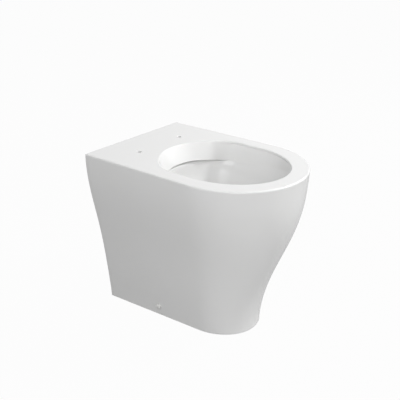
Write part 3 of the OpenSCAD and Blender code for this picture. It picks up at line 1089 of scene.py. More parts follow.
    def lip_low(self, station: Station) -> float:
        """Returns the height of the curtain's lip, which falls to both sides."""
        past = max(0.0, (self.off_side(station) - self.lip_ends) / (90 - self.lip_ends))
        return mix(self.lip_z, self.lip_end_z, (1 - past) ** 2)

    def wall_profile(self, station: Station) -> list[Vector]:
        """Lists one station's points from the deck's edge down to the top of the shelf.

        Args:
            station: The place round the bowl.

        Returns:
            The points, the same number at every station.
        """
        top, r = self.shape.height, self.mouth_edge
        swell = self.grown_in(station, self.lean_ends)
        lip_low = self.lip_low(station)
        slope = self.lean * swell / (top - r - lip_low)

        def place(oval: Oval, z: float) -> Vector:
            """Places this station on an oval at a height."""
            x, d = station.point(oval)
            return self.shape.at(x, d, z)

        rounding = quarter_round(self.mouth_rows, math.pi / 2 - math.atan(slope))
        points = [place(self.mouth.grown(r + self.hold), top)]
        points += [place(self.mouth.grown(r * a), top - r * b) for a, b in rounding]
        start_z, start_in = top - r * rounding[-1][1], -r * rounding[-1][0]
        thick = mix(self.curtain_end_t, self.curtain_t, swell)
        lip_top, half_t = lip_low + self.lip_round, thick / 2
        ceiling = self.shape.deck_low - self.chamber_gap
        chamber_top = ceiling - self.chamber_gap

        def face(z: float) -> float:
            """Returns how far in the curtain's face lies at a height."""
            return start_in + slope * (start_z - z)

        def down(start: float, end: float, rows: int) -> list[float]:
            """Lists the heights of some rows, without the one that they start from."""
            return [mix(start, end, k / rows) for k in range(1, rows + 1)]

        hung = [(face(z), z) for z in down(start_z, lip_top, self.curtain_rows)]
        hung += [
            (face(lip_top) - half_t * (1 - math.cos(t)), lip_top - self.lip_round * math.sin(t))
            for t in (math.pi * k / self.lip_rows for k in range(1, self.lip_rows + 1))
        ]
        hung += [(face(z) - thick, z) for z in down(lip_top, chamber_top, self.curtain_back_rows)]
        open_half = replace(self.mouth, pinch=0.0)

        def eased(grow: float, z: float) -> Vector:
            """Places this station on the mouth's outline, whose pinch fades down to the lip."""
            share = min(1.0, max(0.0, (top - z) / (top - lip_top)))
            return place(self.mouth.toward(open_half, share).grown(grow), z)

        draped = [eased(-inward, z) for inward, z in hung]
        edge_in, wall_top = draped[-1], place(self.wall_oval(ceiling), chamber_top)
        for part in self.ceiling_shares:
            over = edge_in.lerp(wall_top, part)
            over.z = ceiling
            draped.append(over)
        low = self.shelf_edge(station)
        lows = [chamber_top, *down(chamber_top, low, self.chamber_rows)]
        draped += [place(self.wall_oval(max(z, self.shelf_top)), z) for z in lows]
        plain = []
        for k in range(1, len(draped) + 1):
            z = mix(top - r, low, min(1.0, k / self.curtain_rows))
            sunk = ease((top - r - z) / self.undercut_drop)
            plain.append(eased(self.undercut * sunk, z))
        share = self.grown_in(station, self.curtain_end)
        return points + [a.lerp(b, share) for a, b in zip(plain, draped)]

    def grow_bowl(self) -> tuple[list[BMEdge], list[BMEdge]]:
        """Grows the bowl from the deck's inner edge to the sump and back up its outside.

        Returns:
            The edges that bound the deck's opening, and those where the outside meets the deck.
        """
        stations = oval_stations(*self.bowl_steps)
        rings = [list(ring) for ring in zip(*(self.wall_profile(station) for station in stations))]

        def ring(oval: Oval, z: float, spread: float) -> list[Vector]:
            """Lists an oval's points at a height."""
            return [self.shape.at(*station.point(oval, spread), z) for station in stations]

        low, deep = self.shelf_low, self.sump_z
        whole = self.wall_oval(self.shelf_top)
        edges = [self.shelf_edge(station) for station in stations]
        for k in range(1, self.shelf_rows + 1):
            fall = (k / self.shelf_rows) ** 2
            row = ring(self.shelf_oval(whole, fall), low, 0.0)
            for point, edge in zip(row, edges):
                point.z = mix(edge, low, fall)
            rings.append(row)
        for k in range(1, self.bowl_rows + 1):
            share = (1 - k / self.bowl_rows) ** self.bowl_crowd
            z = mix(deep, low, share)
            narrow = ease((z - deep) / self.sump_ease)
            oval = self.low_oval(0.0).toward(self.low_oval(share), narrow)
            rings.append(ring(oval, z, 1 - ease(share * self.bowl_spread)))
        loft = RingLoft.started(self.bm, rings[0])
        mouth_edges = loft.edges
        loft.grow_all(rings[1:])
        self.smooth_bowl()
        bare = [Skin.BARE] * len(stations)
        shares = [(k / self.back_rows) ** self.back_crowd for k in range(self.back_rows + 1)]
        outer = [(self.low_oval(share), mix(deep, low, share)) for share in shares]
        heights = [mix(low, self.shelf_top, part) for part in self.back_joins]
        heights += [*self.back_heights, self.shape.deck_low]
        sagging = len(shares) + len(self.back_joins) - 1
        outer += [(self.wall_oval(z), z) for z in heights]
        for k, (oval, z) in enumerate(outer):
            sag = self.back_sag * math.sin(math.pi * k / sagging) if 0 < k < sagging else 0.0
            spread = 1 - ease((z - deep) / (low - deep) * self.bowl_spread)
            loft.grow(ring(oval.grown(self.bowl_t), z - sag, spread), bare)
        return mouth_edges, loft.edges

    def smooth_bowl(self) -> None:
        """Softens the change from the shelf to the bowl, as the slip does in the mould."""
        low, high = self.soft_band
        soft = [v for v in self.bm.verts if low < v.co.z < high and self.over_bowl(v.co)]
        axes = {f"use_axis_{axis}": True for axis in "xyz"}
        for _ in range(self.soft_rounds):
            bmesh.ops.smooth_vert(self.bm, verts=soft, factor=0.5, **axes)

    def over_bowl(self, place: Vector) -> bool:
        """Finds whether a point lies inside the skirt's hollow, away from the skirt itself.

        Args:
            place: The point, at the height of the bowl.

        Returns:
            True where it is a point of the bowl.
        """
        d = self.shape.wall - place.y
        side_x = self.shape.side_x(place.z, min(d, self.straight_d)) - self.clear_side
        tip = self.shape.nose_tip(place.z) - self.clear_front
        return abs(place.x) < side_x and self.clear_back < d < tip

    def grow_seat_hole(self, side: int) -> tuple[list[BMEdge], list[BMEdge]]:
        """Grows one seat hole down through the deck.

        Args:
            side: -1 for the left hole and 1 for the right one.

        Returns:
            The edges in the deck's face and those in its underside.
        """
        centre = self.shape.at(side * self.seat_pitch / 2, self.seat_d, 0.0)
        top, low = self.shape.height, self.shape.deck_low
        r, soft = self.seat_hole_r, self.seat_hole_round
        wider, deep = self.seat_hole_chamfer
        rows = [(r + soft + self.hold, top)]
        rows += [(r + soft * a, top - soft * b) for a, b in quarter_round(self.seat_hole_rows)]
        rows += [(r, low + deep), (r + wider, low)]
        sides = self.seat_hole_sides
        rings = [ring_points(centre + UP * z, ACROSS, ALONG, radius, sides) for radius, z in rows]
        loft = RingLoft.started(self.bm, rings[0])
        edges = loft.edges
        loft.grow_all(rings[1:])
        return edges, loft.edges

    def fill(self, edges: Sequence[BMEdge], skin: Skin) -> None:
        """Fills a flat face between closed rings.

        Args:
            edges: The rings' edges.
            skin: The face's finish.
        """
        made = bmesh.ops.triangle_fill(
            self.bm, use_beauty=True, use_dissolve=False, edges=list(edges)
        )
        for part in made["geom"]:
            if isinstance(part, BMFace):
                part.material_index = skin.value

    def cut_patch(self, wanted: Callable[[Vector], bool]) -> list[BMEdge]:
        """Removes the faces whose middles are wanted.

        Args:
            wanted: Says whether a face's middle lies in the patch.

        Returns:
            The edges round the opening.
        """
        patch = [face for face in self.bm.faces if wanted(face.calc_center_median())]
        inside = set(patch)
        border = [
            edge
            for edge in dict.fromkeys(e for face in patch for e in face.edges)
            if sum(face in inside for face in edge.link_faces) == 1
        ]
        bmesh.ops.delete(self.bm, geom=patch, context="FACES")
        return border

    def open_window(self) -> None:
        """Opens the flush window through the back of the bowl."""
        half_w, half_h = self.window[0] / 2 + self.window_slack, self.window[1] / 2
        bulge, near = self.window_patch

        def in_window(place: Vector, back: float) -> bool:
            """Returns whether a face lies in the window, near a distance from the wall."""
            off = self.shape.wall - place.y - back - bulge
            within = abs(place.x) < half_w and abs(place.z - self.window_z) < half_h
            return within and abs(off) < near

        front = self.cut_patch(lambda place: in_window(place, self.chamber_back))
        behind = self.cut_patch(lambda place: in_window(place, self.chamber_back - self.bowl_t))
        bmesh.ops.bridge_loops(self.bm, edges=front + behind)

    def spot_floor(self, seat: float) -> list[Point]:
        """Lists the flat round a fixing hole, from its corner to the hole's softened edge.

        Args:
            seat: The flat's distance from the pan's middle plane.

        Returns:
            Points as (radius, distance from the middle plane).
        """
        wider, deeper = self.hole_chamfer
        flat = [(self.spot_r - inset, seat) for inset in self.spot_corner]
        return [*flat, (self.fixing_r + wider, seat), (self.fixing_r, seat - deeper)]

    def open_fixing(self, side: int) -> None:
        """Opens a side fixing hole, with its flat round the cap, through the skirt.

        Args:
            side: -1 on the left and 1 on the right.
        """
        shape, out = self.shape, side * ACROSS
        seat = shape.side_x(self.fixing_z, self.fixing_d) - self.spot_depth
        bare = [Skin.BARE] * self.fixing_sides
        reach, near = self.fixing_patch

        def in_patch(place: Vector, inset: float) -> bool:
            """Returns whether a face lies round the hole, on the wall at an inset."""
            d = shape.wall - place.y
            off = math.hypot(d - self.fixing_d, place.z - self.fixing_z)
            wall_x = shape.side_x(place.z, d, inset)
            return off < reach and place.x * side > 0 and abs(abs(place.x) - wall_x) < near

        def level(radius: float, x: float) -> list[Vector]:
            """Lists a circle's points on an upright plane."""
            centre = shape.at(side * x, self.fixing_d, self.fixing_z)
            return ring_points(centre, ALONG, UP, radius, self.fixing_sides)

        def on_wall(radius: float, inset: float = 0.0) -> list[Vector]:
            """Lists a circle's points on the wall at an inset."""
            points = level(radius, 0.0)
            for p in points:
                p.x = side * shape.side_x(p.z, shape.wall - p.y, inset)
            return points

        outer_border = self.cut_patch(lambda place: in_patch(place, 0.0))
        soft, r, hole_r = self.spot_round, self.spot_r, self.fixing_r
        loft = RingLoft.started(self.bm, on_wall(r + soft + self.hold))
        bmesh.ops.bridge_loops(self.bm, edges=outer_border + loft.edges)
        loft.grow(on_wall(r + soft))
        for turn in self.spot_turns:
            away, fallen = quarter_round(1, turn * math.pi / 2)[-1]
            loft.grow([p - out * (soft * fallen) for p in on_wall(r + soft * away)])
        loft.grow([p.lerp(q, self.spot_wall) for p, q in zip(on_wall(r), level(r, seat))])
        loft.grow_all(level(*row) for row in self.spot_floor(seat))
        wider, short = self.hole_back
        loft.grow(level(hole_r, seat - self.skirt_t + short), bare)
        inner_border = self.cut_patch(lambda place: in_patch(place, self.skirt_t))
        loft.grow(on_wall(hole_r + wider, self.skirt_t), bare)
        made = bmesh.ops.bridge_loops(self.bm, edges=inner_border + loft.edges)
        for face in made["faces"]:
            face.material_index = Skin.BARE.value


# ---- Trapway and outlet ----


@dataclass
class Trap:
    """The trapway under the bowl and the outlet spigot, as one swept piece."""

    shape: PanShape
    bore_r: float = 0.030
    wall: float = 0.009
    bend_r: float = 0.042
    sump_d: float = 0.275
    sump_z: float = 0.197
    crest_z: float = 0.223
    down_angle: float = 75.0
    bend_steps: tuple[int, int, int] = (28, 26, 12)
    outlet_z: float = 0.180
    outlet_r: float = 0.051
    outlet_bore_r: float = 0.042
    outlet_from_wall: float = 0.025
    plate: float = 0.008
    seam: float = 0.00001
    spigot_foot: Point = (0.0006, 0.0015)
    spigot_gap: float = 0.001
    spigot_round: float = 0.003
    bore_round: float = 0.002
    plate_edge: tuple[Point, ...] = ((0.002, 0.0), (0.0005, 0.001), (0.0, 0.003))
    round_rows: int = 5
    sides: int = 56
    bm: BMesh = field(default_factory=bmesh.new)

    def build(self) -> bpy.types.Object:
        """Sweeps the bore and the outside through their bends and ends them in the spigot."""
        inner = self.sweep(self.bore_r)
        outer = self.sweep(self.bore_r + self.wall)
        bore = self.bore_profile()
        self.run(inner[1], bore)
        self.run(outer[1], self.spigot_profile() + bore[-1:])
        self.move(outer[0], Vector(), self.bore_r / (self.bore_r + self.wall))
        bmesh.ops.remove_doubles(self.bm, verts=self.bm.verts, dist=self.seam)
        return finish_mesh(self.bm, "china_trap", crease=50)

    def dress(self, piece: bpy.types.Object, finishes: Finishes) -> None:
        """Dresses the trap and lets it stand for its castings."""
        dress(piece, [finishes.glazed])
        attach(piece, "root")
        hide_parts("china_trap_dip", "china_trap_weir", "china_trap_leg", "outlet_spigot")

    @property
    def last_bend_d(self) -> float:
        """Returns how far from the wall the last bend ends."""
        angle, r = math.radians(self.down_angle), self.bend_r
        start_d = self.sump_d - 3 * r + r * math.cos(math.pi / 2 + angle)
        return start_d - self.down_run * math.cos(angle) - r * math.sin(angle)

    @property
    def down_run(self) -> float:
        """Returns the length of the straight part of the down leg."""
        angle, r = math.radians(self.down_angle), self.bend_r
        start_z = self.crest_z + r * math.sin(math.pi / 2 + angle)
        return (start_z + r * math.cos(angle) - self.outlet_z - r) / math.sin(angle)

    def sweep(self, radius: float) -> tuple[list[BMEdge], list[BMEdge]]:
        """Sweeps a circle from the sump, under the dip and over the weir, to the last bend's end.

        Args:
            radius: The circle's radius.

        Returns:
            The edges of the first and the last ring.
        """
        place = Matrix.Translation(self.shape.at(0, self.sump_d, self.sump_z))
        ring = bmesh.ops.create_circle(
            self.bm, cap_ends=False, segments=self.sides, radius=radius, matrix=place
        )["verts"]
        start = list(dict.fromkeys(e for v in ring for e in v.link_edges))
        angle = math.radians(self.down_angle)
        dip = self.shape.at(0, self.sump_d - self.bend_r, self.sump_z)
        crest = self.shape.at(0, self.sump_d - 3 * self.bend_r, self.crest_z)
        last = self.shape.at(0, self.last_bend_d, self.outlet_z + self.bend_r)
        first_steps, second_steps, last_steps = self.bend_steps
        edges = self.bend(start, dip, math.pi, first_steps)
        edges = self.move(edges, UP * (self.crest_z - self.sump_z))
        edges = self.bend(edges, crest, -(math.pi / 2 + angle), second_steps)
        edges = self.move(edges, Vector((0, math.cos(angle), -math.sin(angle))) * self.down_run)
        return start, self.bend(edges, last, angle, last_steps)

    def bend(
        self, edges: Sequence[BMEdge], pivot: Vector, angle: float, steps: int
    ) -> list[BMEdge]:
        """Spins a ring round a level axis across the pan, and returns the new ring's edges."""
        made = bmesh.ops.spin(
            self.bm, geom=list(edges), cent=pivot, axis=ACROSS, angle=angle, steps=steps
        )
        return [part for part in made["geom_last"] if isinstance(part, BMEdge)]

    def move(self, edges: Sequence[BMEdge], by: Vector, scale: float = 1.0) -> list[BMEdge]:
        """Extrudes a ring, moves it and scales it about its own middle.

        Args:
            edges: The ring's edges.
            by: How far the new ring moves.
            scale: How much larger its radius gets.

        Returns:
            The new ring's edges.
        """
        made = bmesh.ops.extrude_edge_only(self.bm, edges=list(edges))["geom"]
        verts = [part for part in made if isinstance(part, BMVert)]
        middle = sum((v.co for v in verts), Vector()) / len(verts)
        space = Matrix.Translation(-middle)
        bmesh.ops.scale(self.bm, vec=Vector((scale,) * 3), verts=verts, space=space)
        bmesh.ops.translate(self.bm, vec=by, verts=verts)
        fresh = set(verts)
        new_edges = [part for part in made if isinstance(part, BMEdge)]
        return [edge for edge in new_edges if fresh.issuperset(edge.verts)]

    def run(self, edges: Sequence[BMEdge], profile: Sequence[Point]) -> None:
        """Grows a ring along the outlet through distances from the wall and radii.

        Args:
            edges: The ring's edges, at the first point of the profile.
            profile: Points as (distance from the wall, radius).
        """
        for (d, r), (next_d, next_r) in zip(profile, profile[1:]):
            edges = self.move(edges, ALONG * (d - next_d), next_r / r)

    def spigot_profile(self) -> list[Point]:
        """Lists the spigot's outside, from the last bend to the edge of its mouth."""
        start, end, r = self.last_bend_d, self.outlet_from_wall, self.outlet_r
        neck, soft = self.bore_r + self.wall, self.spigot_round
        rounding = quarter_round(self.round_rows)
        foot = [(start, neck), (start - self.spigot_foot[0], neck + self.spigot_foot[1])]
        shoulder = [(start - self.spigot_gap - soft * b, r - soft * a) for a, b in rounding]
        return foot + shoulder + [(end + soft * a, r - soft * b) for a, b in rounding]

    def bore_profile(self) -> list[Point]:
        """Lists the spigot's bore, from the last bend to the edge of its mouth."""
        start, end, r = self.last_bend_d, self.outlet_from_wall, self.outlet_bore_r
        step, soft = start - self.plate, self.bore_round
        plate = [(start, self.bore_r)]
        plate += [(step + back, self.bore_r + wider) for back, wider in self.plate_edge]
        plate += [(step, r - soft), (step - soft / 2, r)]
        return plate + [(end + soft * a, r + soft * b) for a, b in quarter_round(self.round_rows)]


# ---- Flush inlet ----


@dataclass
class FlushInlet:
    """The socket for the flush pipe and the channel that widens to the flush window."""

    shape: PanShape
    socket_z: float = 0.340
    window_z: float = 0.392
    bore_r: float = 0.0275
    wall: float = 0.0085
    from_wall: float = 0.030
    length: float = 0.032
    bead: Point = (0.003, 0.008)
    bead_edge: tuple[Point, ...] = ((0.0, 1.0), (0.3, 0.3), (1.0, 0.0))
    bead_fillet: tuple[Point, ...] = ((-0.0005, 0.001), (0.001, 0.003), (0.003, 0.003))
    bore_mouth: tuple[Point, ...] = ((0.004, 0.0), (0.001, 0.0006), (0.0, 0.0022))
    window: Point = (0.060, 0.024)
    boss: Point = (0.078, 0.040)
    boss_d: float = 0.098
    end_d: float = 0.106
    corner_power: float = 0.2256
    channel_rows: int = 12
    sides: int = 64
    bm: BMesh = field(default_factory=bmesh.new)

    def build(self) -> bpy.types.Object:
        """Grows the outside from the mouth to the boss, and the bore back to the mouth."""
        outer_r = self.bore_r + self.wall
        d0, d1 = self.from_wall, self.from_wall + self.length
        soft, bead_end = self.bead[0], d0 + self.bead[1]
        wide = outer_r + soft
        outside = [(d0 + soft * a, wide - soft * b) for a, b in self.bead_edge]
        outside.append((bead_end - soft, wide))
        outside += [(bead_end + past, wide - fall) for past, fall in self.bead_fillet]
        outside.append((d1, outer_r))
        bore = [(d1, self.bore_r)]
        bore += [(d0 + back, self.bore_r + wider) for back, wider in self.bore_mouth]
        faces = [(self.end_d, self.boss), (self.end_d, self.window), (self.boss_d, self.window)]
        rings = [self.round_ring(*row) for row in outside]
        rings += self.channel(outer_r, self.boss, d1)
        rings += [self.window_ring(*row) for row in faces]
        rings += self.channel(self.bore_r, self.window, d1)[-2::-1]
        rings += [self.round_ring(*row) for row in bore]
        loft = RingLoft.started(self.bm, rings[0])
        first = loft.edges
        loft.grow_all(rings[1:])
        bmesh.ops.bridge_loops(self.bm, edges=first + loft.edges)
        return finish_mesh(self.bm, "china_flush_inlet", crease=50)

    def dress(self, piece: bpy.types.Object, finishes: Finishes) -> None:
        """Dresses the inlet and lets it stand for its castings."""
        dress(piece, [finishes.bare])
        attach(piece, "root")
        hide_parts("flush_channel", "inlet_socket")

    def round_ring(self, d: float, radius: float) -> list[Vector]:
        """Lists a round ring of the socket."""
        centre = self.shape.at(0, d, self.socket_z)
        return ring_points(centre, ACROSS, UP, radius, self.sides)

    def window_ring(self, d: float, size: Point) -> list[Vector]:
        """Lists a ring with the window's rounded shape.

        Args:
            d: The distance from the wall.
            size: The ring's width and height.

        Returns:
            The points, in the same order as a round ring's.
        """
        points = ring_points(Vector(), ACROSS, UP, 1.0, self.sides)
        for p in points:
            p.x = math.copysign(abs(p.x) ** self.corner_power, p.x) * size[0] / 2
            p.z = math.copysign(abs(p.z) ** self.corner_power, p.z) * size[1] / 2
        return [self.shape.at(0, d, self.window_z) + p for p in points]

    def channel(self, radius: float, size: Point, start: float) -> list[list[Vector]]:
        """Lists the channel's rings, from the round socket to the window's shape.

        Args:
            radius: The socket's radius.
            size: The window's width and height.
            start: The socket's end, as a distance from the wall.

        Returns:
            Each ring's points.
        """
        rings = []
        for k in range(1, self.channel_rows + 1):
            share = k / self.channel_rows
            d = mix(start, self.boss_d, share)
            pairs = zip(self.round_ring(d, radius), self.window_ring(d, size))
            rings.append([a.lerp(b, share) for a, b in pairs])
        return rings


# ---- Side fixings ----


@dataclass
class SideFixing:
    """One side's cover cap, screw, washer, sleeve and nut.

    Distances along the screw are measured out from the flat that the cap covers.
    """

    shape: PanShape
    side: int
    from_wall: float = 0.170
    height: float = 0.025
    spot_depth: float = 0.0012
    cap_r: float = 0.0075
    cap_h: float = 0.005
    cap_gap: float = 0.0002
    cap_wall: float = 0.0011
    cap_roof: float = 0.0016
    cap_edge: Point = (0.00035, 0.00045)
    cap_lip: float = 0.0003
    cap_corner: Point = (0.001, 0.0012)
    cap_rows: int = 12
    cap_sides: int = 72
    dome: float = 0.0020
    screw_r: float = 0.003
    screw_length: float = 0.046
    thread: Point = (0.001, 0.00045)
    thread_shape: Point = (0.3, 0.65)
    bare_length: float = 0.004
    neck: Point = (0.0006, 0.0003)
    head_r: float = 0.0048
    head_h: float = 0.0024
    head_round: float = 0.0005
    socket_r: float = 0.0018
    socket_cone: float = 0.0004
    crisp: float = 0.0002
    washer_r: float = 0.0062
    washer_t: float = 0.0012
    washer_bore: float = 0.0031
    washer_round: float = 0.0002
    sleeve_r: float = 0.0049
    sleeve_bore: float = 0.0032
    sleeve_length: float = 0.013
    sleeve_round: float = 0.0004
    nut_bore: float = 0.00305
    nut_round: float = 0.0004
    sides: int = 48

    @property
    def word(self) -> str:
        """Returns the side's name."""
        return SIDES[self.side]

    @property
    def seat(self) -> Vector:
        """Returns the middle of the flat that the cap covers."""
        x = self.shape.side_x(self.height, self.from_wall) - self.spot_depth
        return self.shape.at(self.side * x, self.from_wall, self.height)

    @property
    def out(self) -> Vector:
        """Returns the direction out of the skirt."""
        return self.side * ACROSS

    def build_cap(self) -> bpy.types.Object:
        """Turns the cover cap: a short wall and a domed face with a soft edge.

        Returns:
            The finished piece.
        """
        low, top = self.cap_gap, self.cap_gap + self.cap_h
        r, shoulder = self.cap_r, top - self.dome
        sphere = (r * r + self.dome**2) / (2 * self.dome)
        high, wide = self.cap_edge
        radii = [mix(0.0, r - 2 * wide, k / self.cap_rows) for k in range(self.cap_rows + 1)]
        face = [(top - sphere + math.sqrt(sphere**2 - q * q), q) for q in radii]
        left = [1 - k / 4 for k in range(5)]
        edge = [(shoulder + high * share, r - wide * share**2) for share in left]
        inner, roof = r - self.cap_wall, top - self.cap_roof
        lip, (fall, reach) = self.cap_lip, self.cap_corner
        wall = [(low + lip, r), (low, r - lip), (low, inner + self.crisp)]
        wall += [(roof - fall, inner), (roof, inner - reach), (roof, 0.0)]
        return self.spun(face + edge + wall, "cap", self.cap_sides)

    def dress_cap(self, piece: bpy.types.Object, finishes: Finishes) -> None:
        """Dresses the cap and lets it move with its body."""
        dress(piece, [finishes.white])
        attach(piece, f"cover_cap_{self.word}")
        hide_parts(f"cover_cap_{self.word}")

    def ring(self, along: float, radius: float, corners: int = 0) -> list[Vector]:
        """Lists a round or even-sided ring round the screw's axis."""
        centre = self.seat + self.out * along
        return ring_points(centre, ALONG, UP, radius, self.sides, corners)

    def spun(self, profile: Sequence[Point], kind: str, steps: int) -> bpy.types.Object:
        """Turns a piece about the screw's axis and names it for its side."""
        bm = bmesh.new()
        turned(bm, profile, self.seat, self.out, steps)
        return finish_mesh(bm, f"{kind}_{self.word}", crease=50)

    def grown(self, rows: Sequence[Sequence[float]], kind: str) -> bpy.types.Object:
        """Grows a piece through rings round the screw's axis and names it for its side.

        Args:
            rows: For each ring, what the method for a ring takes.
            kind: The piece's name without its side.

        Returns:
            The finished piece.
        """
        bm = bmesh.new()
        rings = [self.ring(*row) for row in rows]
        loft = RingLoft.started(bm, rings[0])
        loft.grow_all(rings[1:])
        return finish_mesh(bm, f"{kind}_{self.word}", crease=30)

    def build_screw(self) -> bpy.types.Object:
        """Builds the screw: a threaded shank and a round head with a hexagon socket.

        Returns:
            The finished piece.
        """
        r, start = self.screw_r, self.washer_t - self.screw_length
        (pitch, deep), (flat, root) = self.thread, self.thread_shape
        head, top = self.washer_t, self.washer_t + self.head_h
        rows = [(start, 0.0), (start, r - deep), (start + deep, r)]
        for k in range(int((self.screw_length - self.bare_length) / pitch)):
            at = start + deep + k * pitch
            rows += [(at + flat * pitch, r), (at + root * pitch, r - deep), (at + pitch, r)]
        rows += [(head - self.neck[0], r), (head, r + self.neck[1])]
        soft, head_r, socket_r, crisp = self.head_round, self.head_r, self.socket_r, self.crisp
        rows += [(head, head_r - crisp), (head + crisp, head_r)]
        rows += [(top - soft * a, head_r - soft * b) for a, b in quarter_round(4)]
        end = head + self.head_h / 4
        rows += [(top, socket_r + crisp, 6), (top - crisp, socket_r, 6)]
        rows += [(end, socket_r, 6), (end - self.socket_cone, 0.0)]
        return self.grown(rows, "screw")

    def build_nut(self) -> bpy.types.Object:
        """Builds the square nut, with soft edges and a round bore.

        Returns:
            The finished piece.
        """
        low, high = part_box(f"bracket_nut_{self.word}")
        first, last = sorted((v.x - self.seat.x) * self.side for v in (low, high))
        half, soft, bore = (high.z - low.z) / 2, self.nut_round, self.nut_bore
        rows = [(first, bore + soft), (first, half - soft, 4), (first + soft, half, 4)]
        rows += [(last - soft, half, 4), (last, half - soft, 4), (last, bore + soft)]
        rows += [(last - soft, bore), (first + soft, bore), (first, bore + soft)]
        return self.grown(rows, "nut")

    def tube(self, kind: str, ends: Point, radii: Point, soft: float) -> bpy.types.Object:
        """Turns a plain tube or disc with a hole, with soft edges.

        Args:
            kind: The piece's name without its side.
            ends: Where it starts and ends along the screw.
            radii: Its bore's radius and its own.
            soft: The rounding of its edges.

        Returns:
            The finished piece.
        """
        (start, end), (bore, r) = ends, radii
        corners = [(start, bore), (end, bore), (end, r), (start, r)]
        return self.spun(rounded(corners, soft), kind, self.sides)

    def build_washer(self) -> bpy.types.Object:
        """Turns the washer between the screw's head and the china."""
        radii = (self.washer_bore, self.washer_r)
        return self.tube("washer", (0.0, self.washer_t), radii, self.washer_round)

    def build_sleeve(self) -> bpy.types.Object:
        """Turns the sleeve that keeps the screw off the china."""
        radii = (self.sleeve_bore, self.sleeve_r)
        return self.tube("sleeve", (-self.sleeve_length, 0.0), radii, self.sleeve_round)

    def dress_part(
        self, piece: bpy.types.Object, node: str, material: bpy.types.Material
    ) -> None:
        """Dresses a fixed fitting and lets it stand for its node.

        Args:
            piece: The finished piece.
            node: The node's name without its side.
            material: The material.
        """
        dress(piece, [material])
        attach(piece, "root")
        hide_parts(f"{node}_{self.word}")


# ---- Studio ----


@dataclass(frozen=True)
class Lamp:
    """A square soft lamp that faces the middle of the pan.

    Azimuth runs from +X toward +Y, and elevation up from the level of the pan's middle, in degrees.
    """

    name: str
    azimuth: float
    elevation: float
    distance: float
    size: float
    power: float
    aim: tuple[float, float, float] = (0.0, 0.0, 0.25)

    def hang(self) -> None:
        """Hangs the lamp."""
        turn, rise = math.radians(self.azimuth), math.radians(self.elevation)
        level = math.cos(rise)
        toward = Vector((level * math.cos(turn), level * math.sin(turn), math.sin(rise)))
        data = bpy.data.lights.new(self.name, "AREA")
        data.shape = "SQUARE"
        data.size = self.size
        data.energy = self.power
        lamp = bpy.data.objects.new(self.name, data)
        lamp.location = Vector(self.aim) + toward * self.distance
        lamp.rotation_euler = toward.to_track_quat("Z", "Y").to_euler()
        bpy.context.scene.collection.objects.link(lamp)


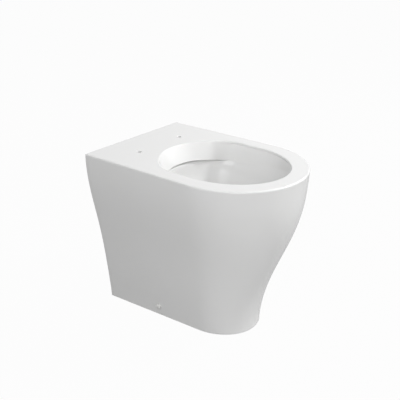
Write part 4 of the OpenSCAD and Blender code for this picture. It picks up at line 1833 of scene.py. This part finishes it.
@dataclass(frozen=True)
class Studio:
    """A white room with a pale floor, soft lamps and the camera."""

    camera_place: tuple[float, float, float] = (-1.262, -0.979, 1.0017)
    camera_azimuth: float = -51.36
    camera_elevation: float = 23.22
    lens: float = 62.55
    room_light: float = 0.25
    floor_size: float = 14.0
    floor_glow: Point = (0.97, 0.3)
    floor_colour: str = "#a0a0a0"
    lamps: tuple[Lamp, ...] = (
        Lamp("key", -46, 46, 3.0, 0.3, 31),
        Lamp("fill_front_left", -135, 15, 2.8, 1.6, 28),
        Lamp("fill_left", 180, 45, 2.8, 1.6, 14),
        Lamp("fill_front_right", -45, 15, 2.8, 3.4, 29),
        Lamp("fill_right", 0, 45, 2.8, 1.6, 20),
    )

    def build(self) -> None:
        """Sets the room, the floor, the lamps and the camera."""
        self.set_room()
        self.lay_floor()
        for lamp in self.lamps:
            lamp.hang()
        self.place_camera()
        bpy.context.scene.view_settings.view_transform = "Standard"

    def seen(self, tree: bpy.types.NodeTree, in_view: float, in_gloss: float) -> bpy.types.NodeSocket:
        """Adds the share of the plain white that a ray sees instead of what is lit.

        Args:
            tree: The tree that takes the nodes.
            in_view: The share for rays from the camera.
            in_gloss: The share for rays off gloss and through glass.

        Returns:
            The share for the ray at hand, which is 0 for the rays that light the pan.
        """
        path = add_node(tree, "ShaderNodeLightPath").outputs
        rays = {0: path["Is Glossy Ray"], 1: path["Is Transmission Ray"]}
        either = add_node(tree, "ShaderNodeMath", {"operation": "MAXIMUM"}, rays)
        part = {0: either.outputs[0], 1: in_gloss}
        gloss = add_node(tree, "ShaderNodeMath", {"operation": "MULTIPLY"}, part)
        shares = {0: path["Is Camera Ray"], 1: in_view, 2: gloss.outputs[0]}
        return add_node(tree, "ShaderNodeMath", {"operation": "MULTIPLY_ADD"}, shares).outputs[0]

    def blend(
        self, tree: bpy.types.NodeTree, lit: bpy.types.Node, white: bpy.types.Node, shares: Point
    ) -> bpy.types.NodeSocket:
        """Shows a lit surface to the lamps' light and plain white to the rays that are seen.

        Args:
            tree: The tree that takes the nodes.
            lit: The shader that the light meets.
            white: The shader that is seen.
            shares: The share of white for rays from the camera and for rays off gloss.

        Returns:
            The blended shader.
        """
        mixed = {0: self.seen(tree, *shares), 1: lit.outputs[0], 2: white.outputs[0]}
        return add_node(tree, "ShaderNodeMixShader", None, mixed).outputs[0]

    def set_room(self) -> None:
        """Makes the room white to the eye, and its light soft and even."""
        world = bpy.data.worlds.new("white_room")
        bpy.context.scene.world = world
        world.use_nodes = True
        tree = world.node_tree
        tree.nodes.clear()
        light = add_node(tree, "ShaderNodeBackground", None, {0: WHITE, 1: self.room_light})
        white = add_node(tree, "ShaderNodeBackground", None, {0: WHITE, 1: 1.0})
        surface = self.blend(tree, light, white, (1.0, 1.0))
        add_node(tree, "ShaderNodeOutputWorld", None, {"Surface": surface})

    def lay_floor(self) -> None:
        """Lays a pale floor that keeps a trace of the pan's shadow."""
        bm = bmesh.new()
        bmesh.ops.create_grid(bm, x_segments=1, y_segments=1, size=self.floor_size / 2)
        floor = finish_mesh(bm, "studio_floor")
        material = blank_material("pale_studio_floor")
        tree = material.node_tree
        matt = add_node(tree, "ShaderNodeBsdfDiffuse", None, {0: linear(self.floor_colour)})
        glow = add_node(tree, "ShaderNodeEmission", None, {0: WHITE, 1: 1.0})
        surface = self.blend(tree, matt, glow, self.floor_glow)
        add_node(tree, "ShaderNodeOutputMaterial", None, {"Surface": surface})
        floor.data.materials.append(material)

    def place_camera(self) -> None:
        """Places the camera at the photograph's viewing angle."""
        data = bpy.data.cameras.new("camera")
        data.lens = self.lens
        data.sensor_width = 36.0
        data.clip_start, data.clip_end = 0.01, 60.0
        camera = bpy.data.objects.new("camera", data)
        camera.location = self.camera_place
        tilt, turn = math.radians(90 - self.camera_elevation), math.radians(self.camera_azimuth)
        camera.rotation_euler = (tilt, 0.0, turn)
        bpy.context.scene.collection.objects.link(camera)
        bpy.context.scene.camera = camera


# ---- The whole object ----


def dress_nodes(finishes: Finishes) -> None:
    """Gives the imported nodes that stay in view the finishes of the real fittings.

    Args:
        finishes: The object's materials.
    """
    rubber = ("inlet_seal", "spreader_seal")
    nylon = ("flush_spreader", *(f"fixing_bracket_{word}" for word in SIDES.values()))
    plain = dict.fromkeys(rubber, finishes.rubber) | dict.fromkeys(nylon, finishes.nylon)
    for name, material in plain.items():
        dress(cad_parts[name], [material])


def main() -> None:
    """Builds and dresses the pan, its fittings and the studio."""
    logging.basicConfig(level=logging.INFO, format="%(message)s")
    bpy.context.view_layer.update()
    low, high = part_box("china_rim")
    shape = PanShape(width=high.x - low.x, depth=high.y - low.y, height=high.z)
    finishes = Finishes()
    for maker in (ChinaPan(shape), Trap(shape), FlushInlet(shape)):
        piece = maker.build()
        maker.dress(piece, finishes)
        log.info("%s: %d faces", piece.name, len(piece.data.polygons))
    for side in SIDES:
        fixing = SideFixing(shape, side)
        cap = fixing.build_cap()
        fixing.dress_cap(cap, finishes)
        fixing.dress_part(fixing.build_screw(), "fixing_screw", finishes.zinc)
        fixing.dress_part(fixing.build_nut(), "bracket_nut", finishes.zinc)
        fixing.dress_part(fixing.build_washer(), "fixing_washer", finishes.zinc)
        fixing.dress_part(fixing.build_sleeve(), "fixing_sleeve", finishes.nylon)
        log.info("%s: %d faces", cap.name, len(cap.data.polygons))
    dress_nodes(finishes)
    Studio().build()


if __name__ == "__main__":
    main()
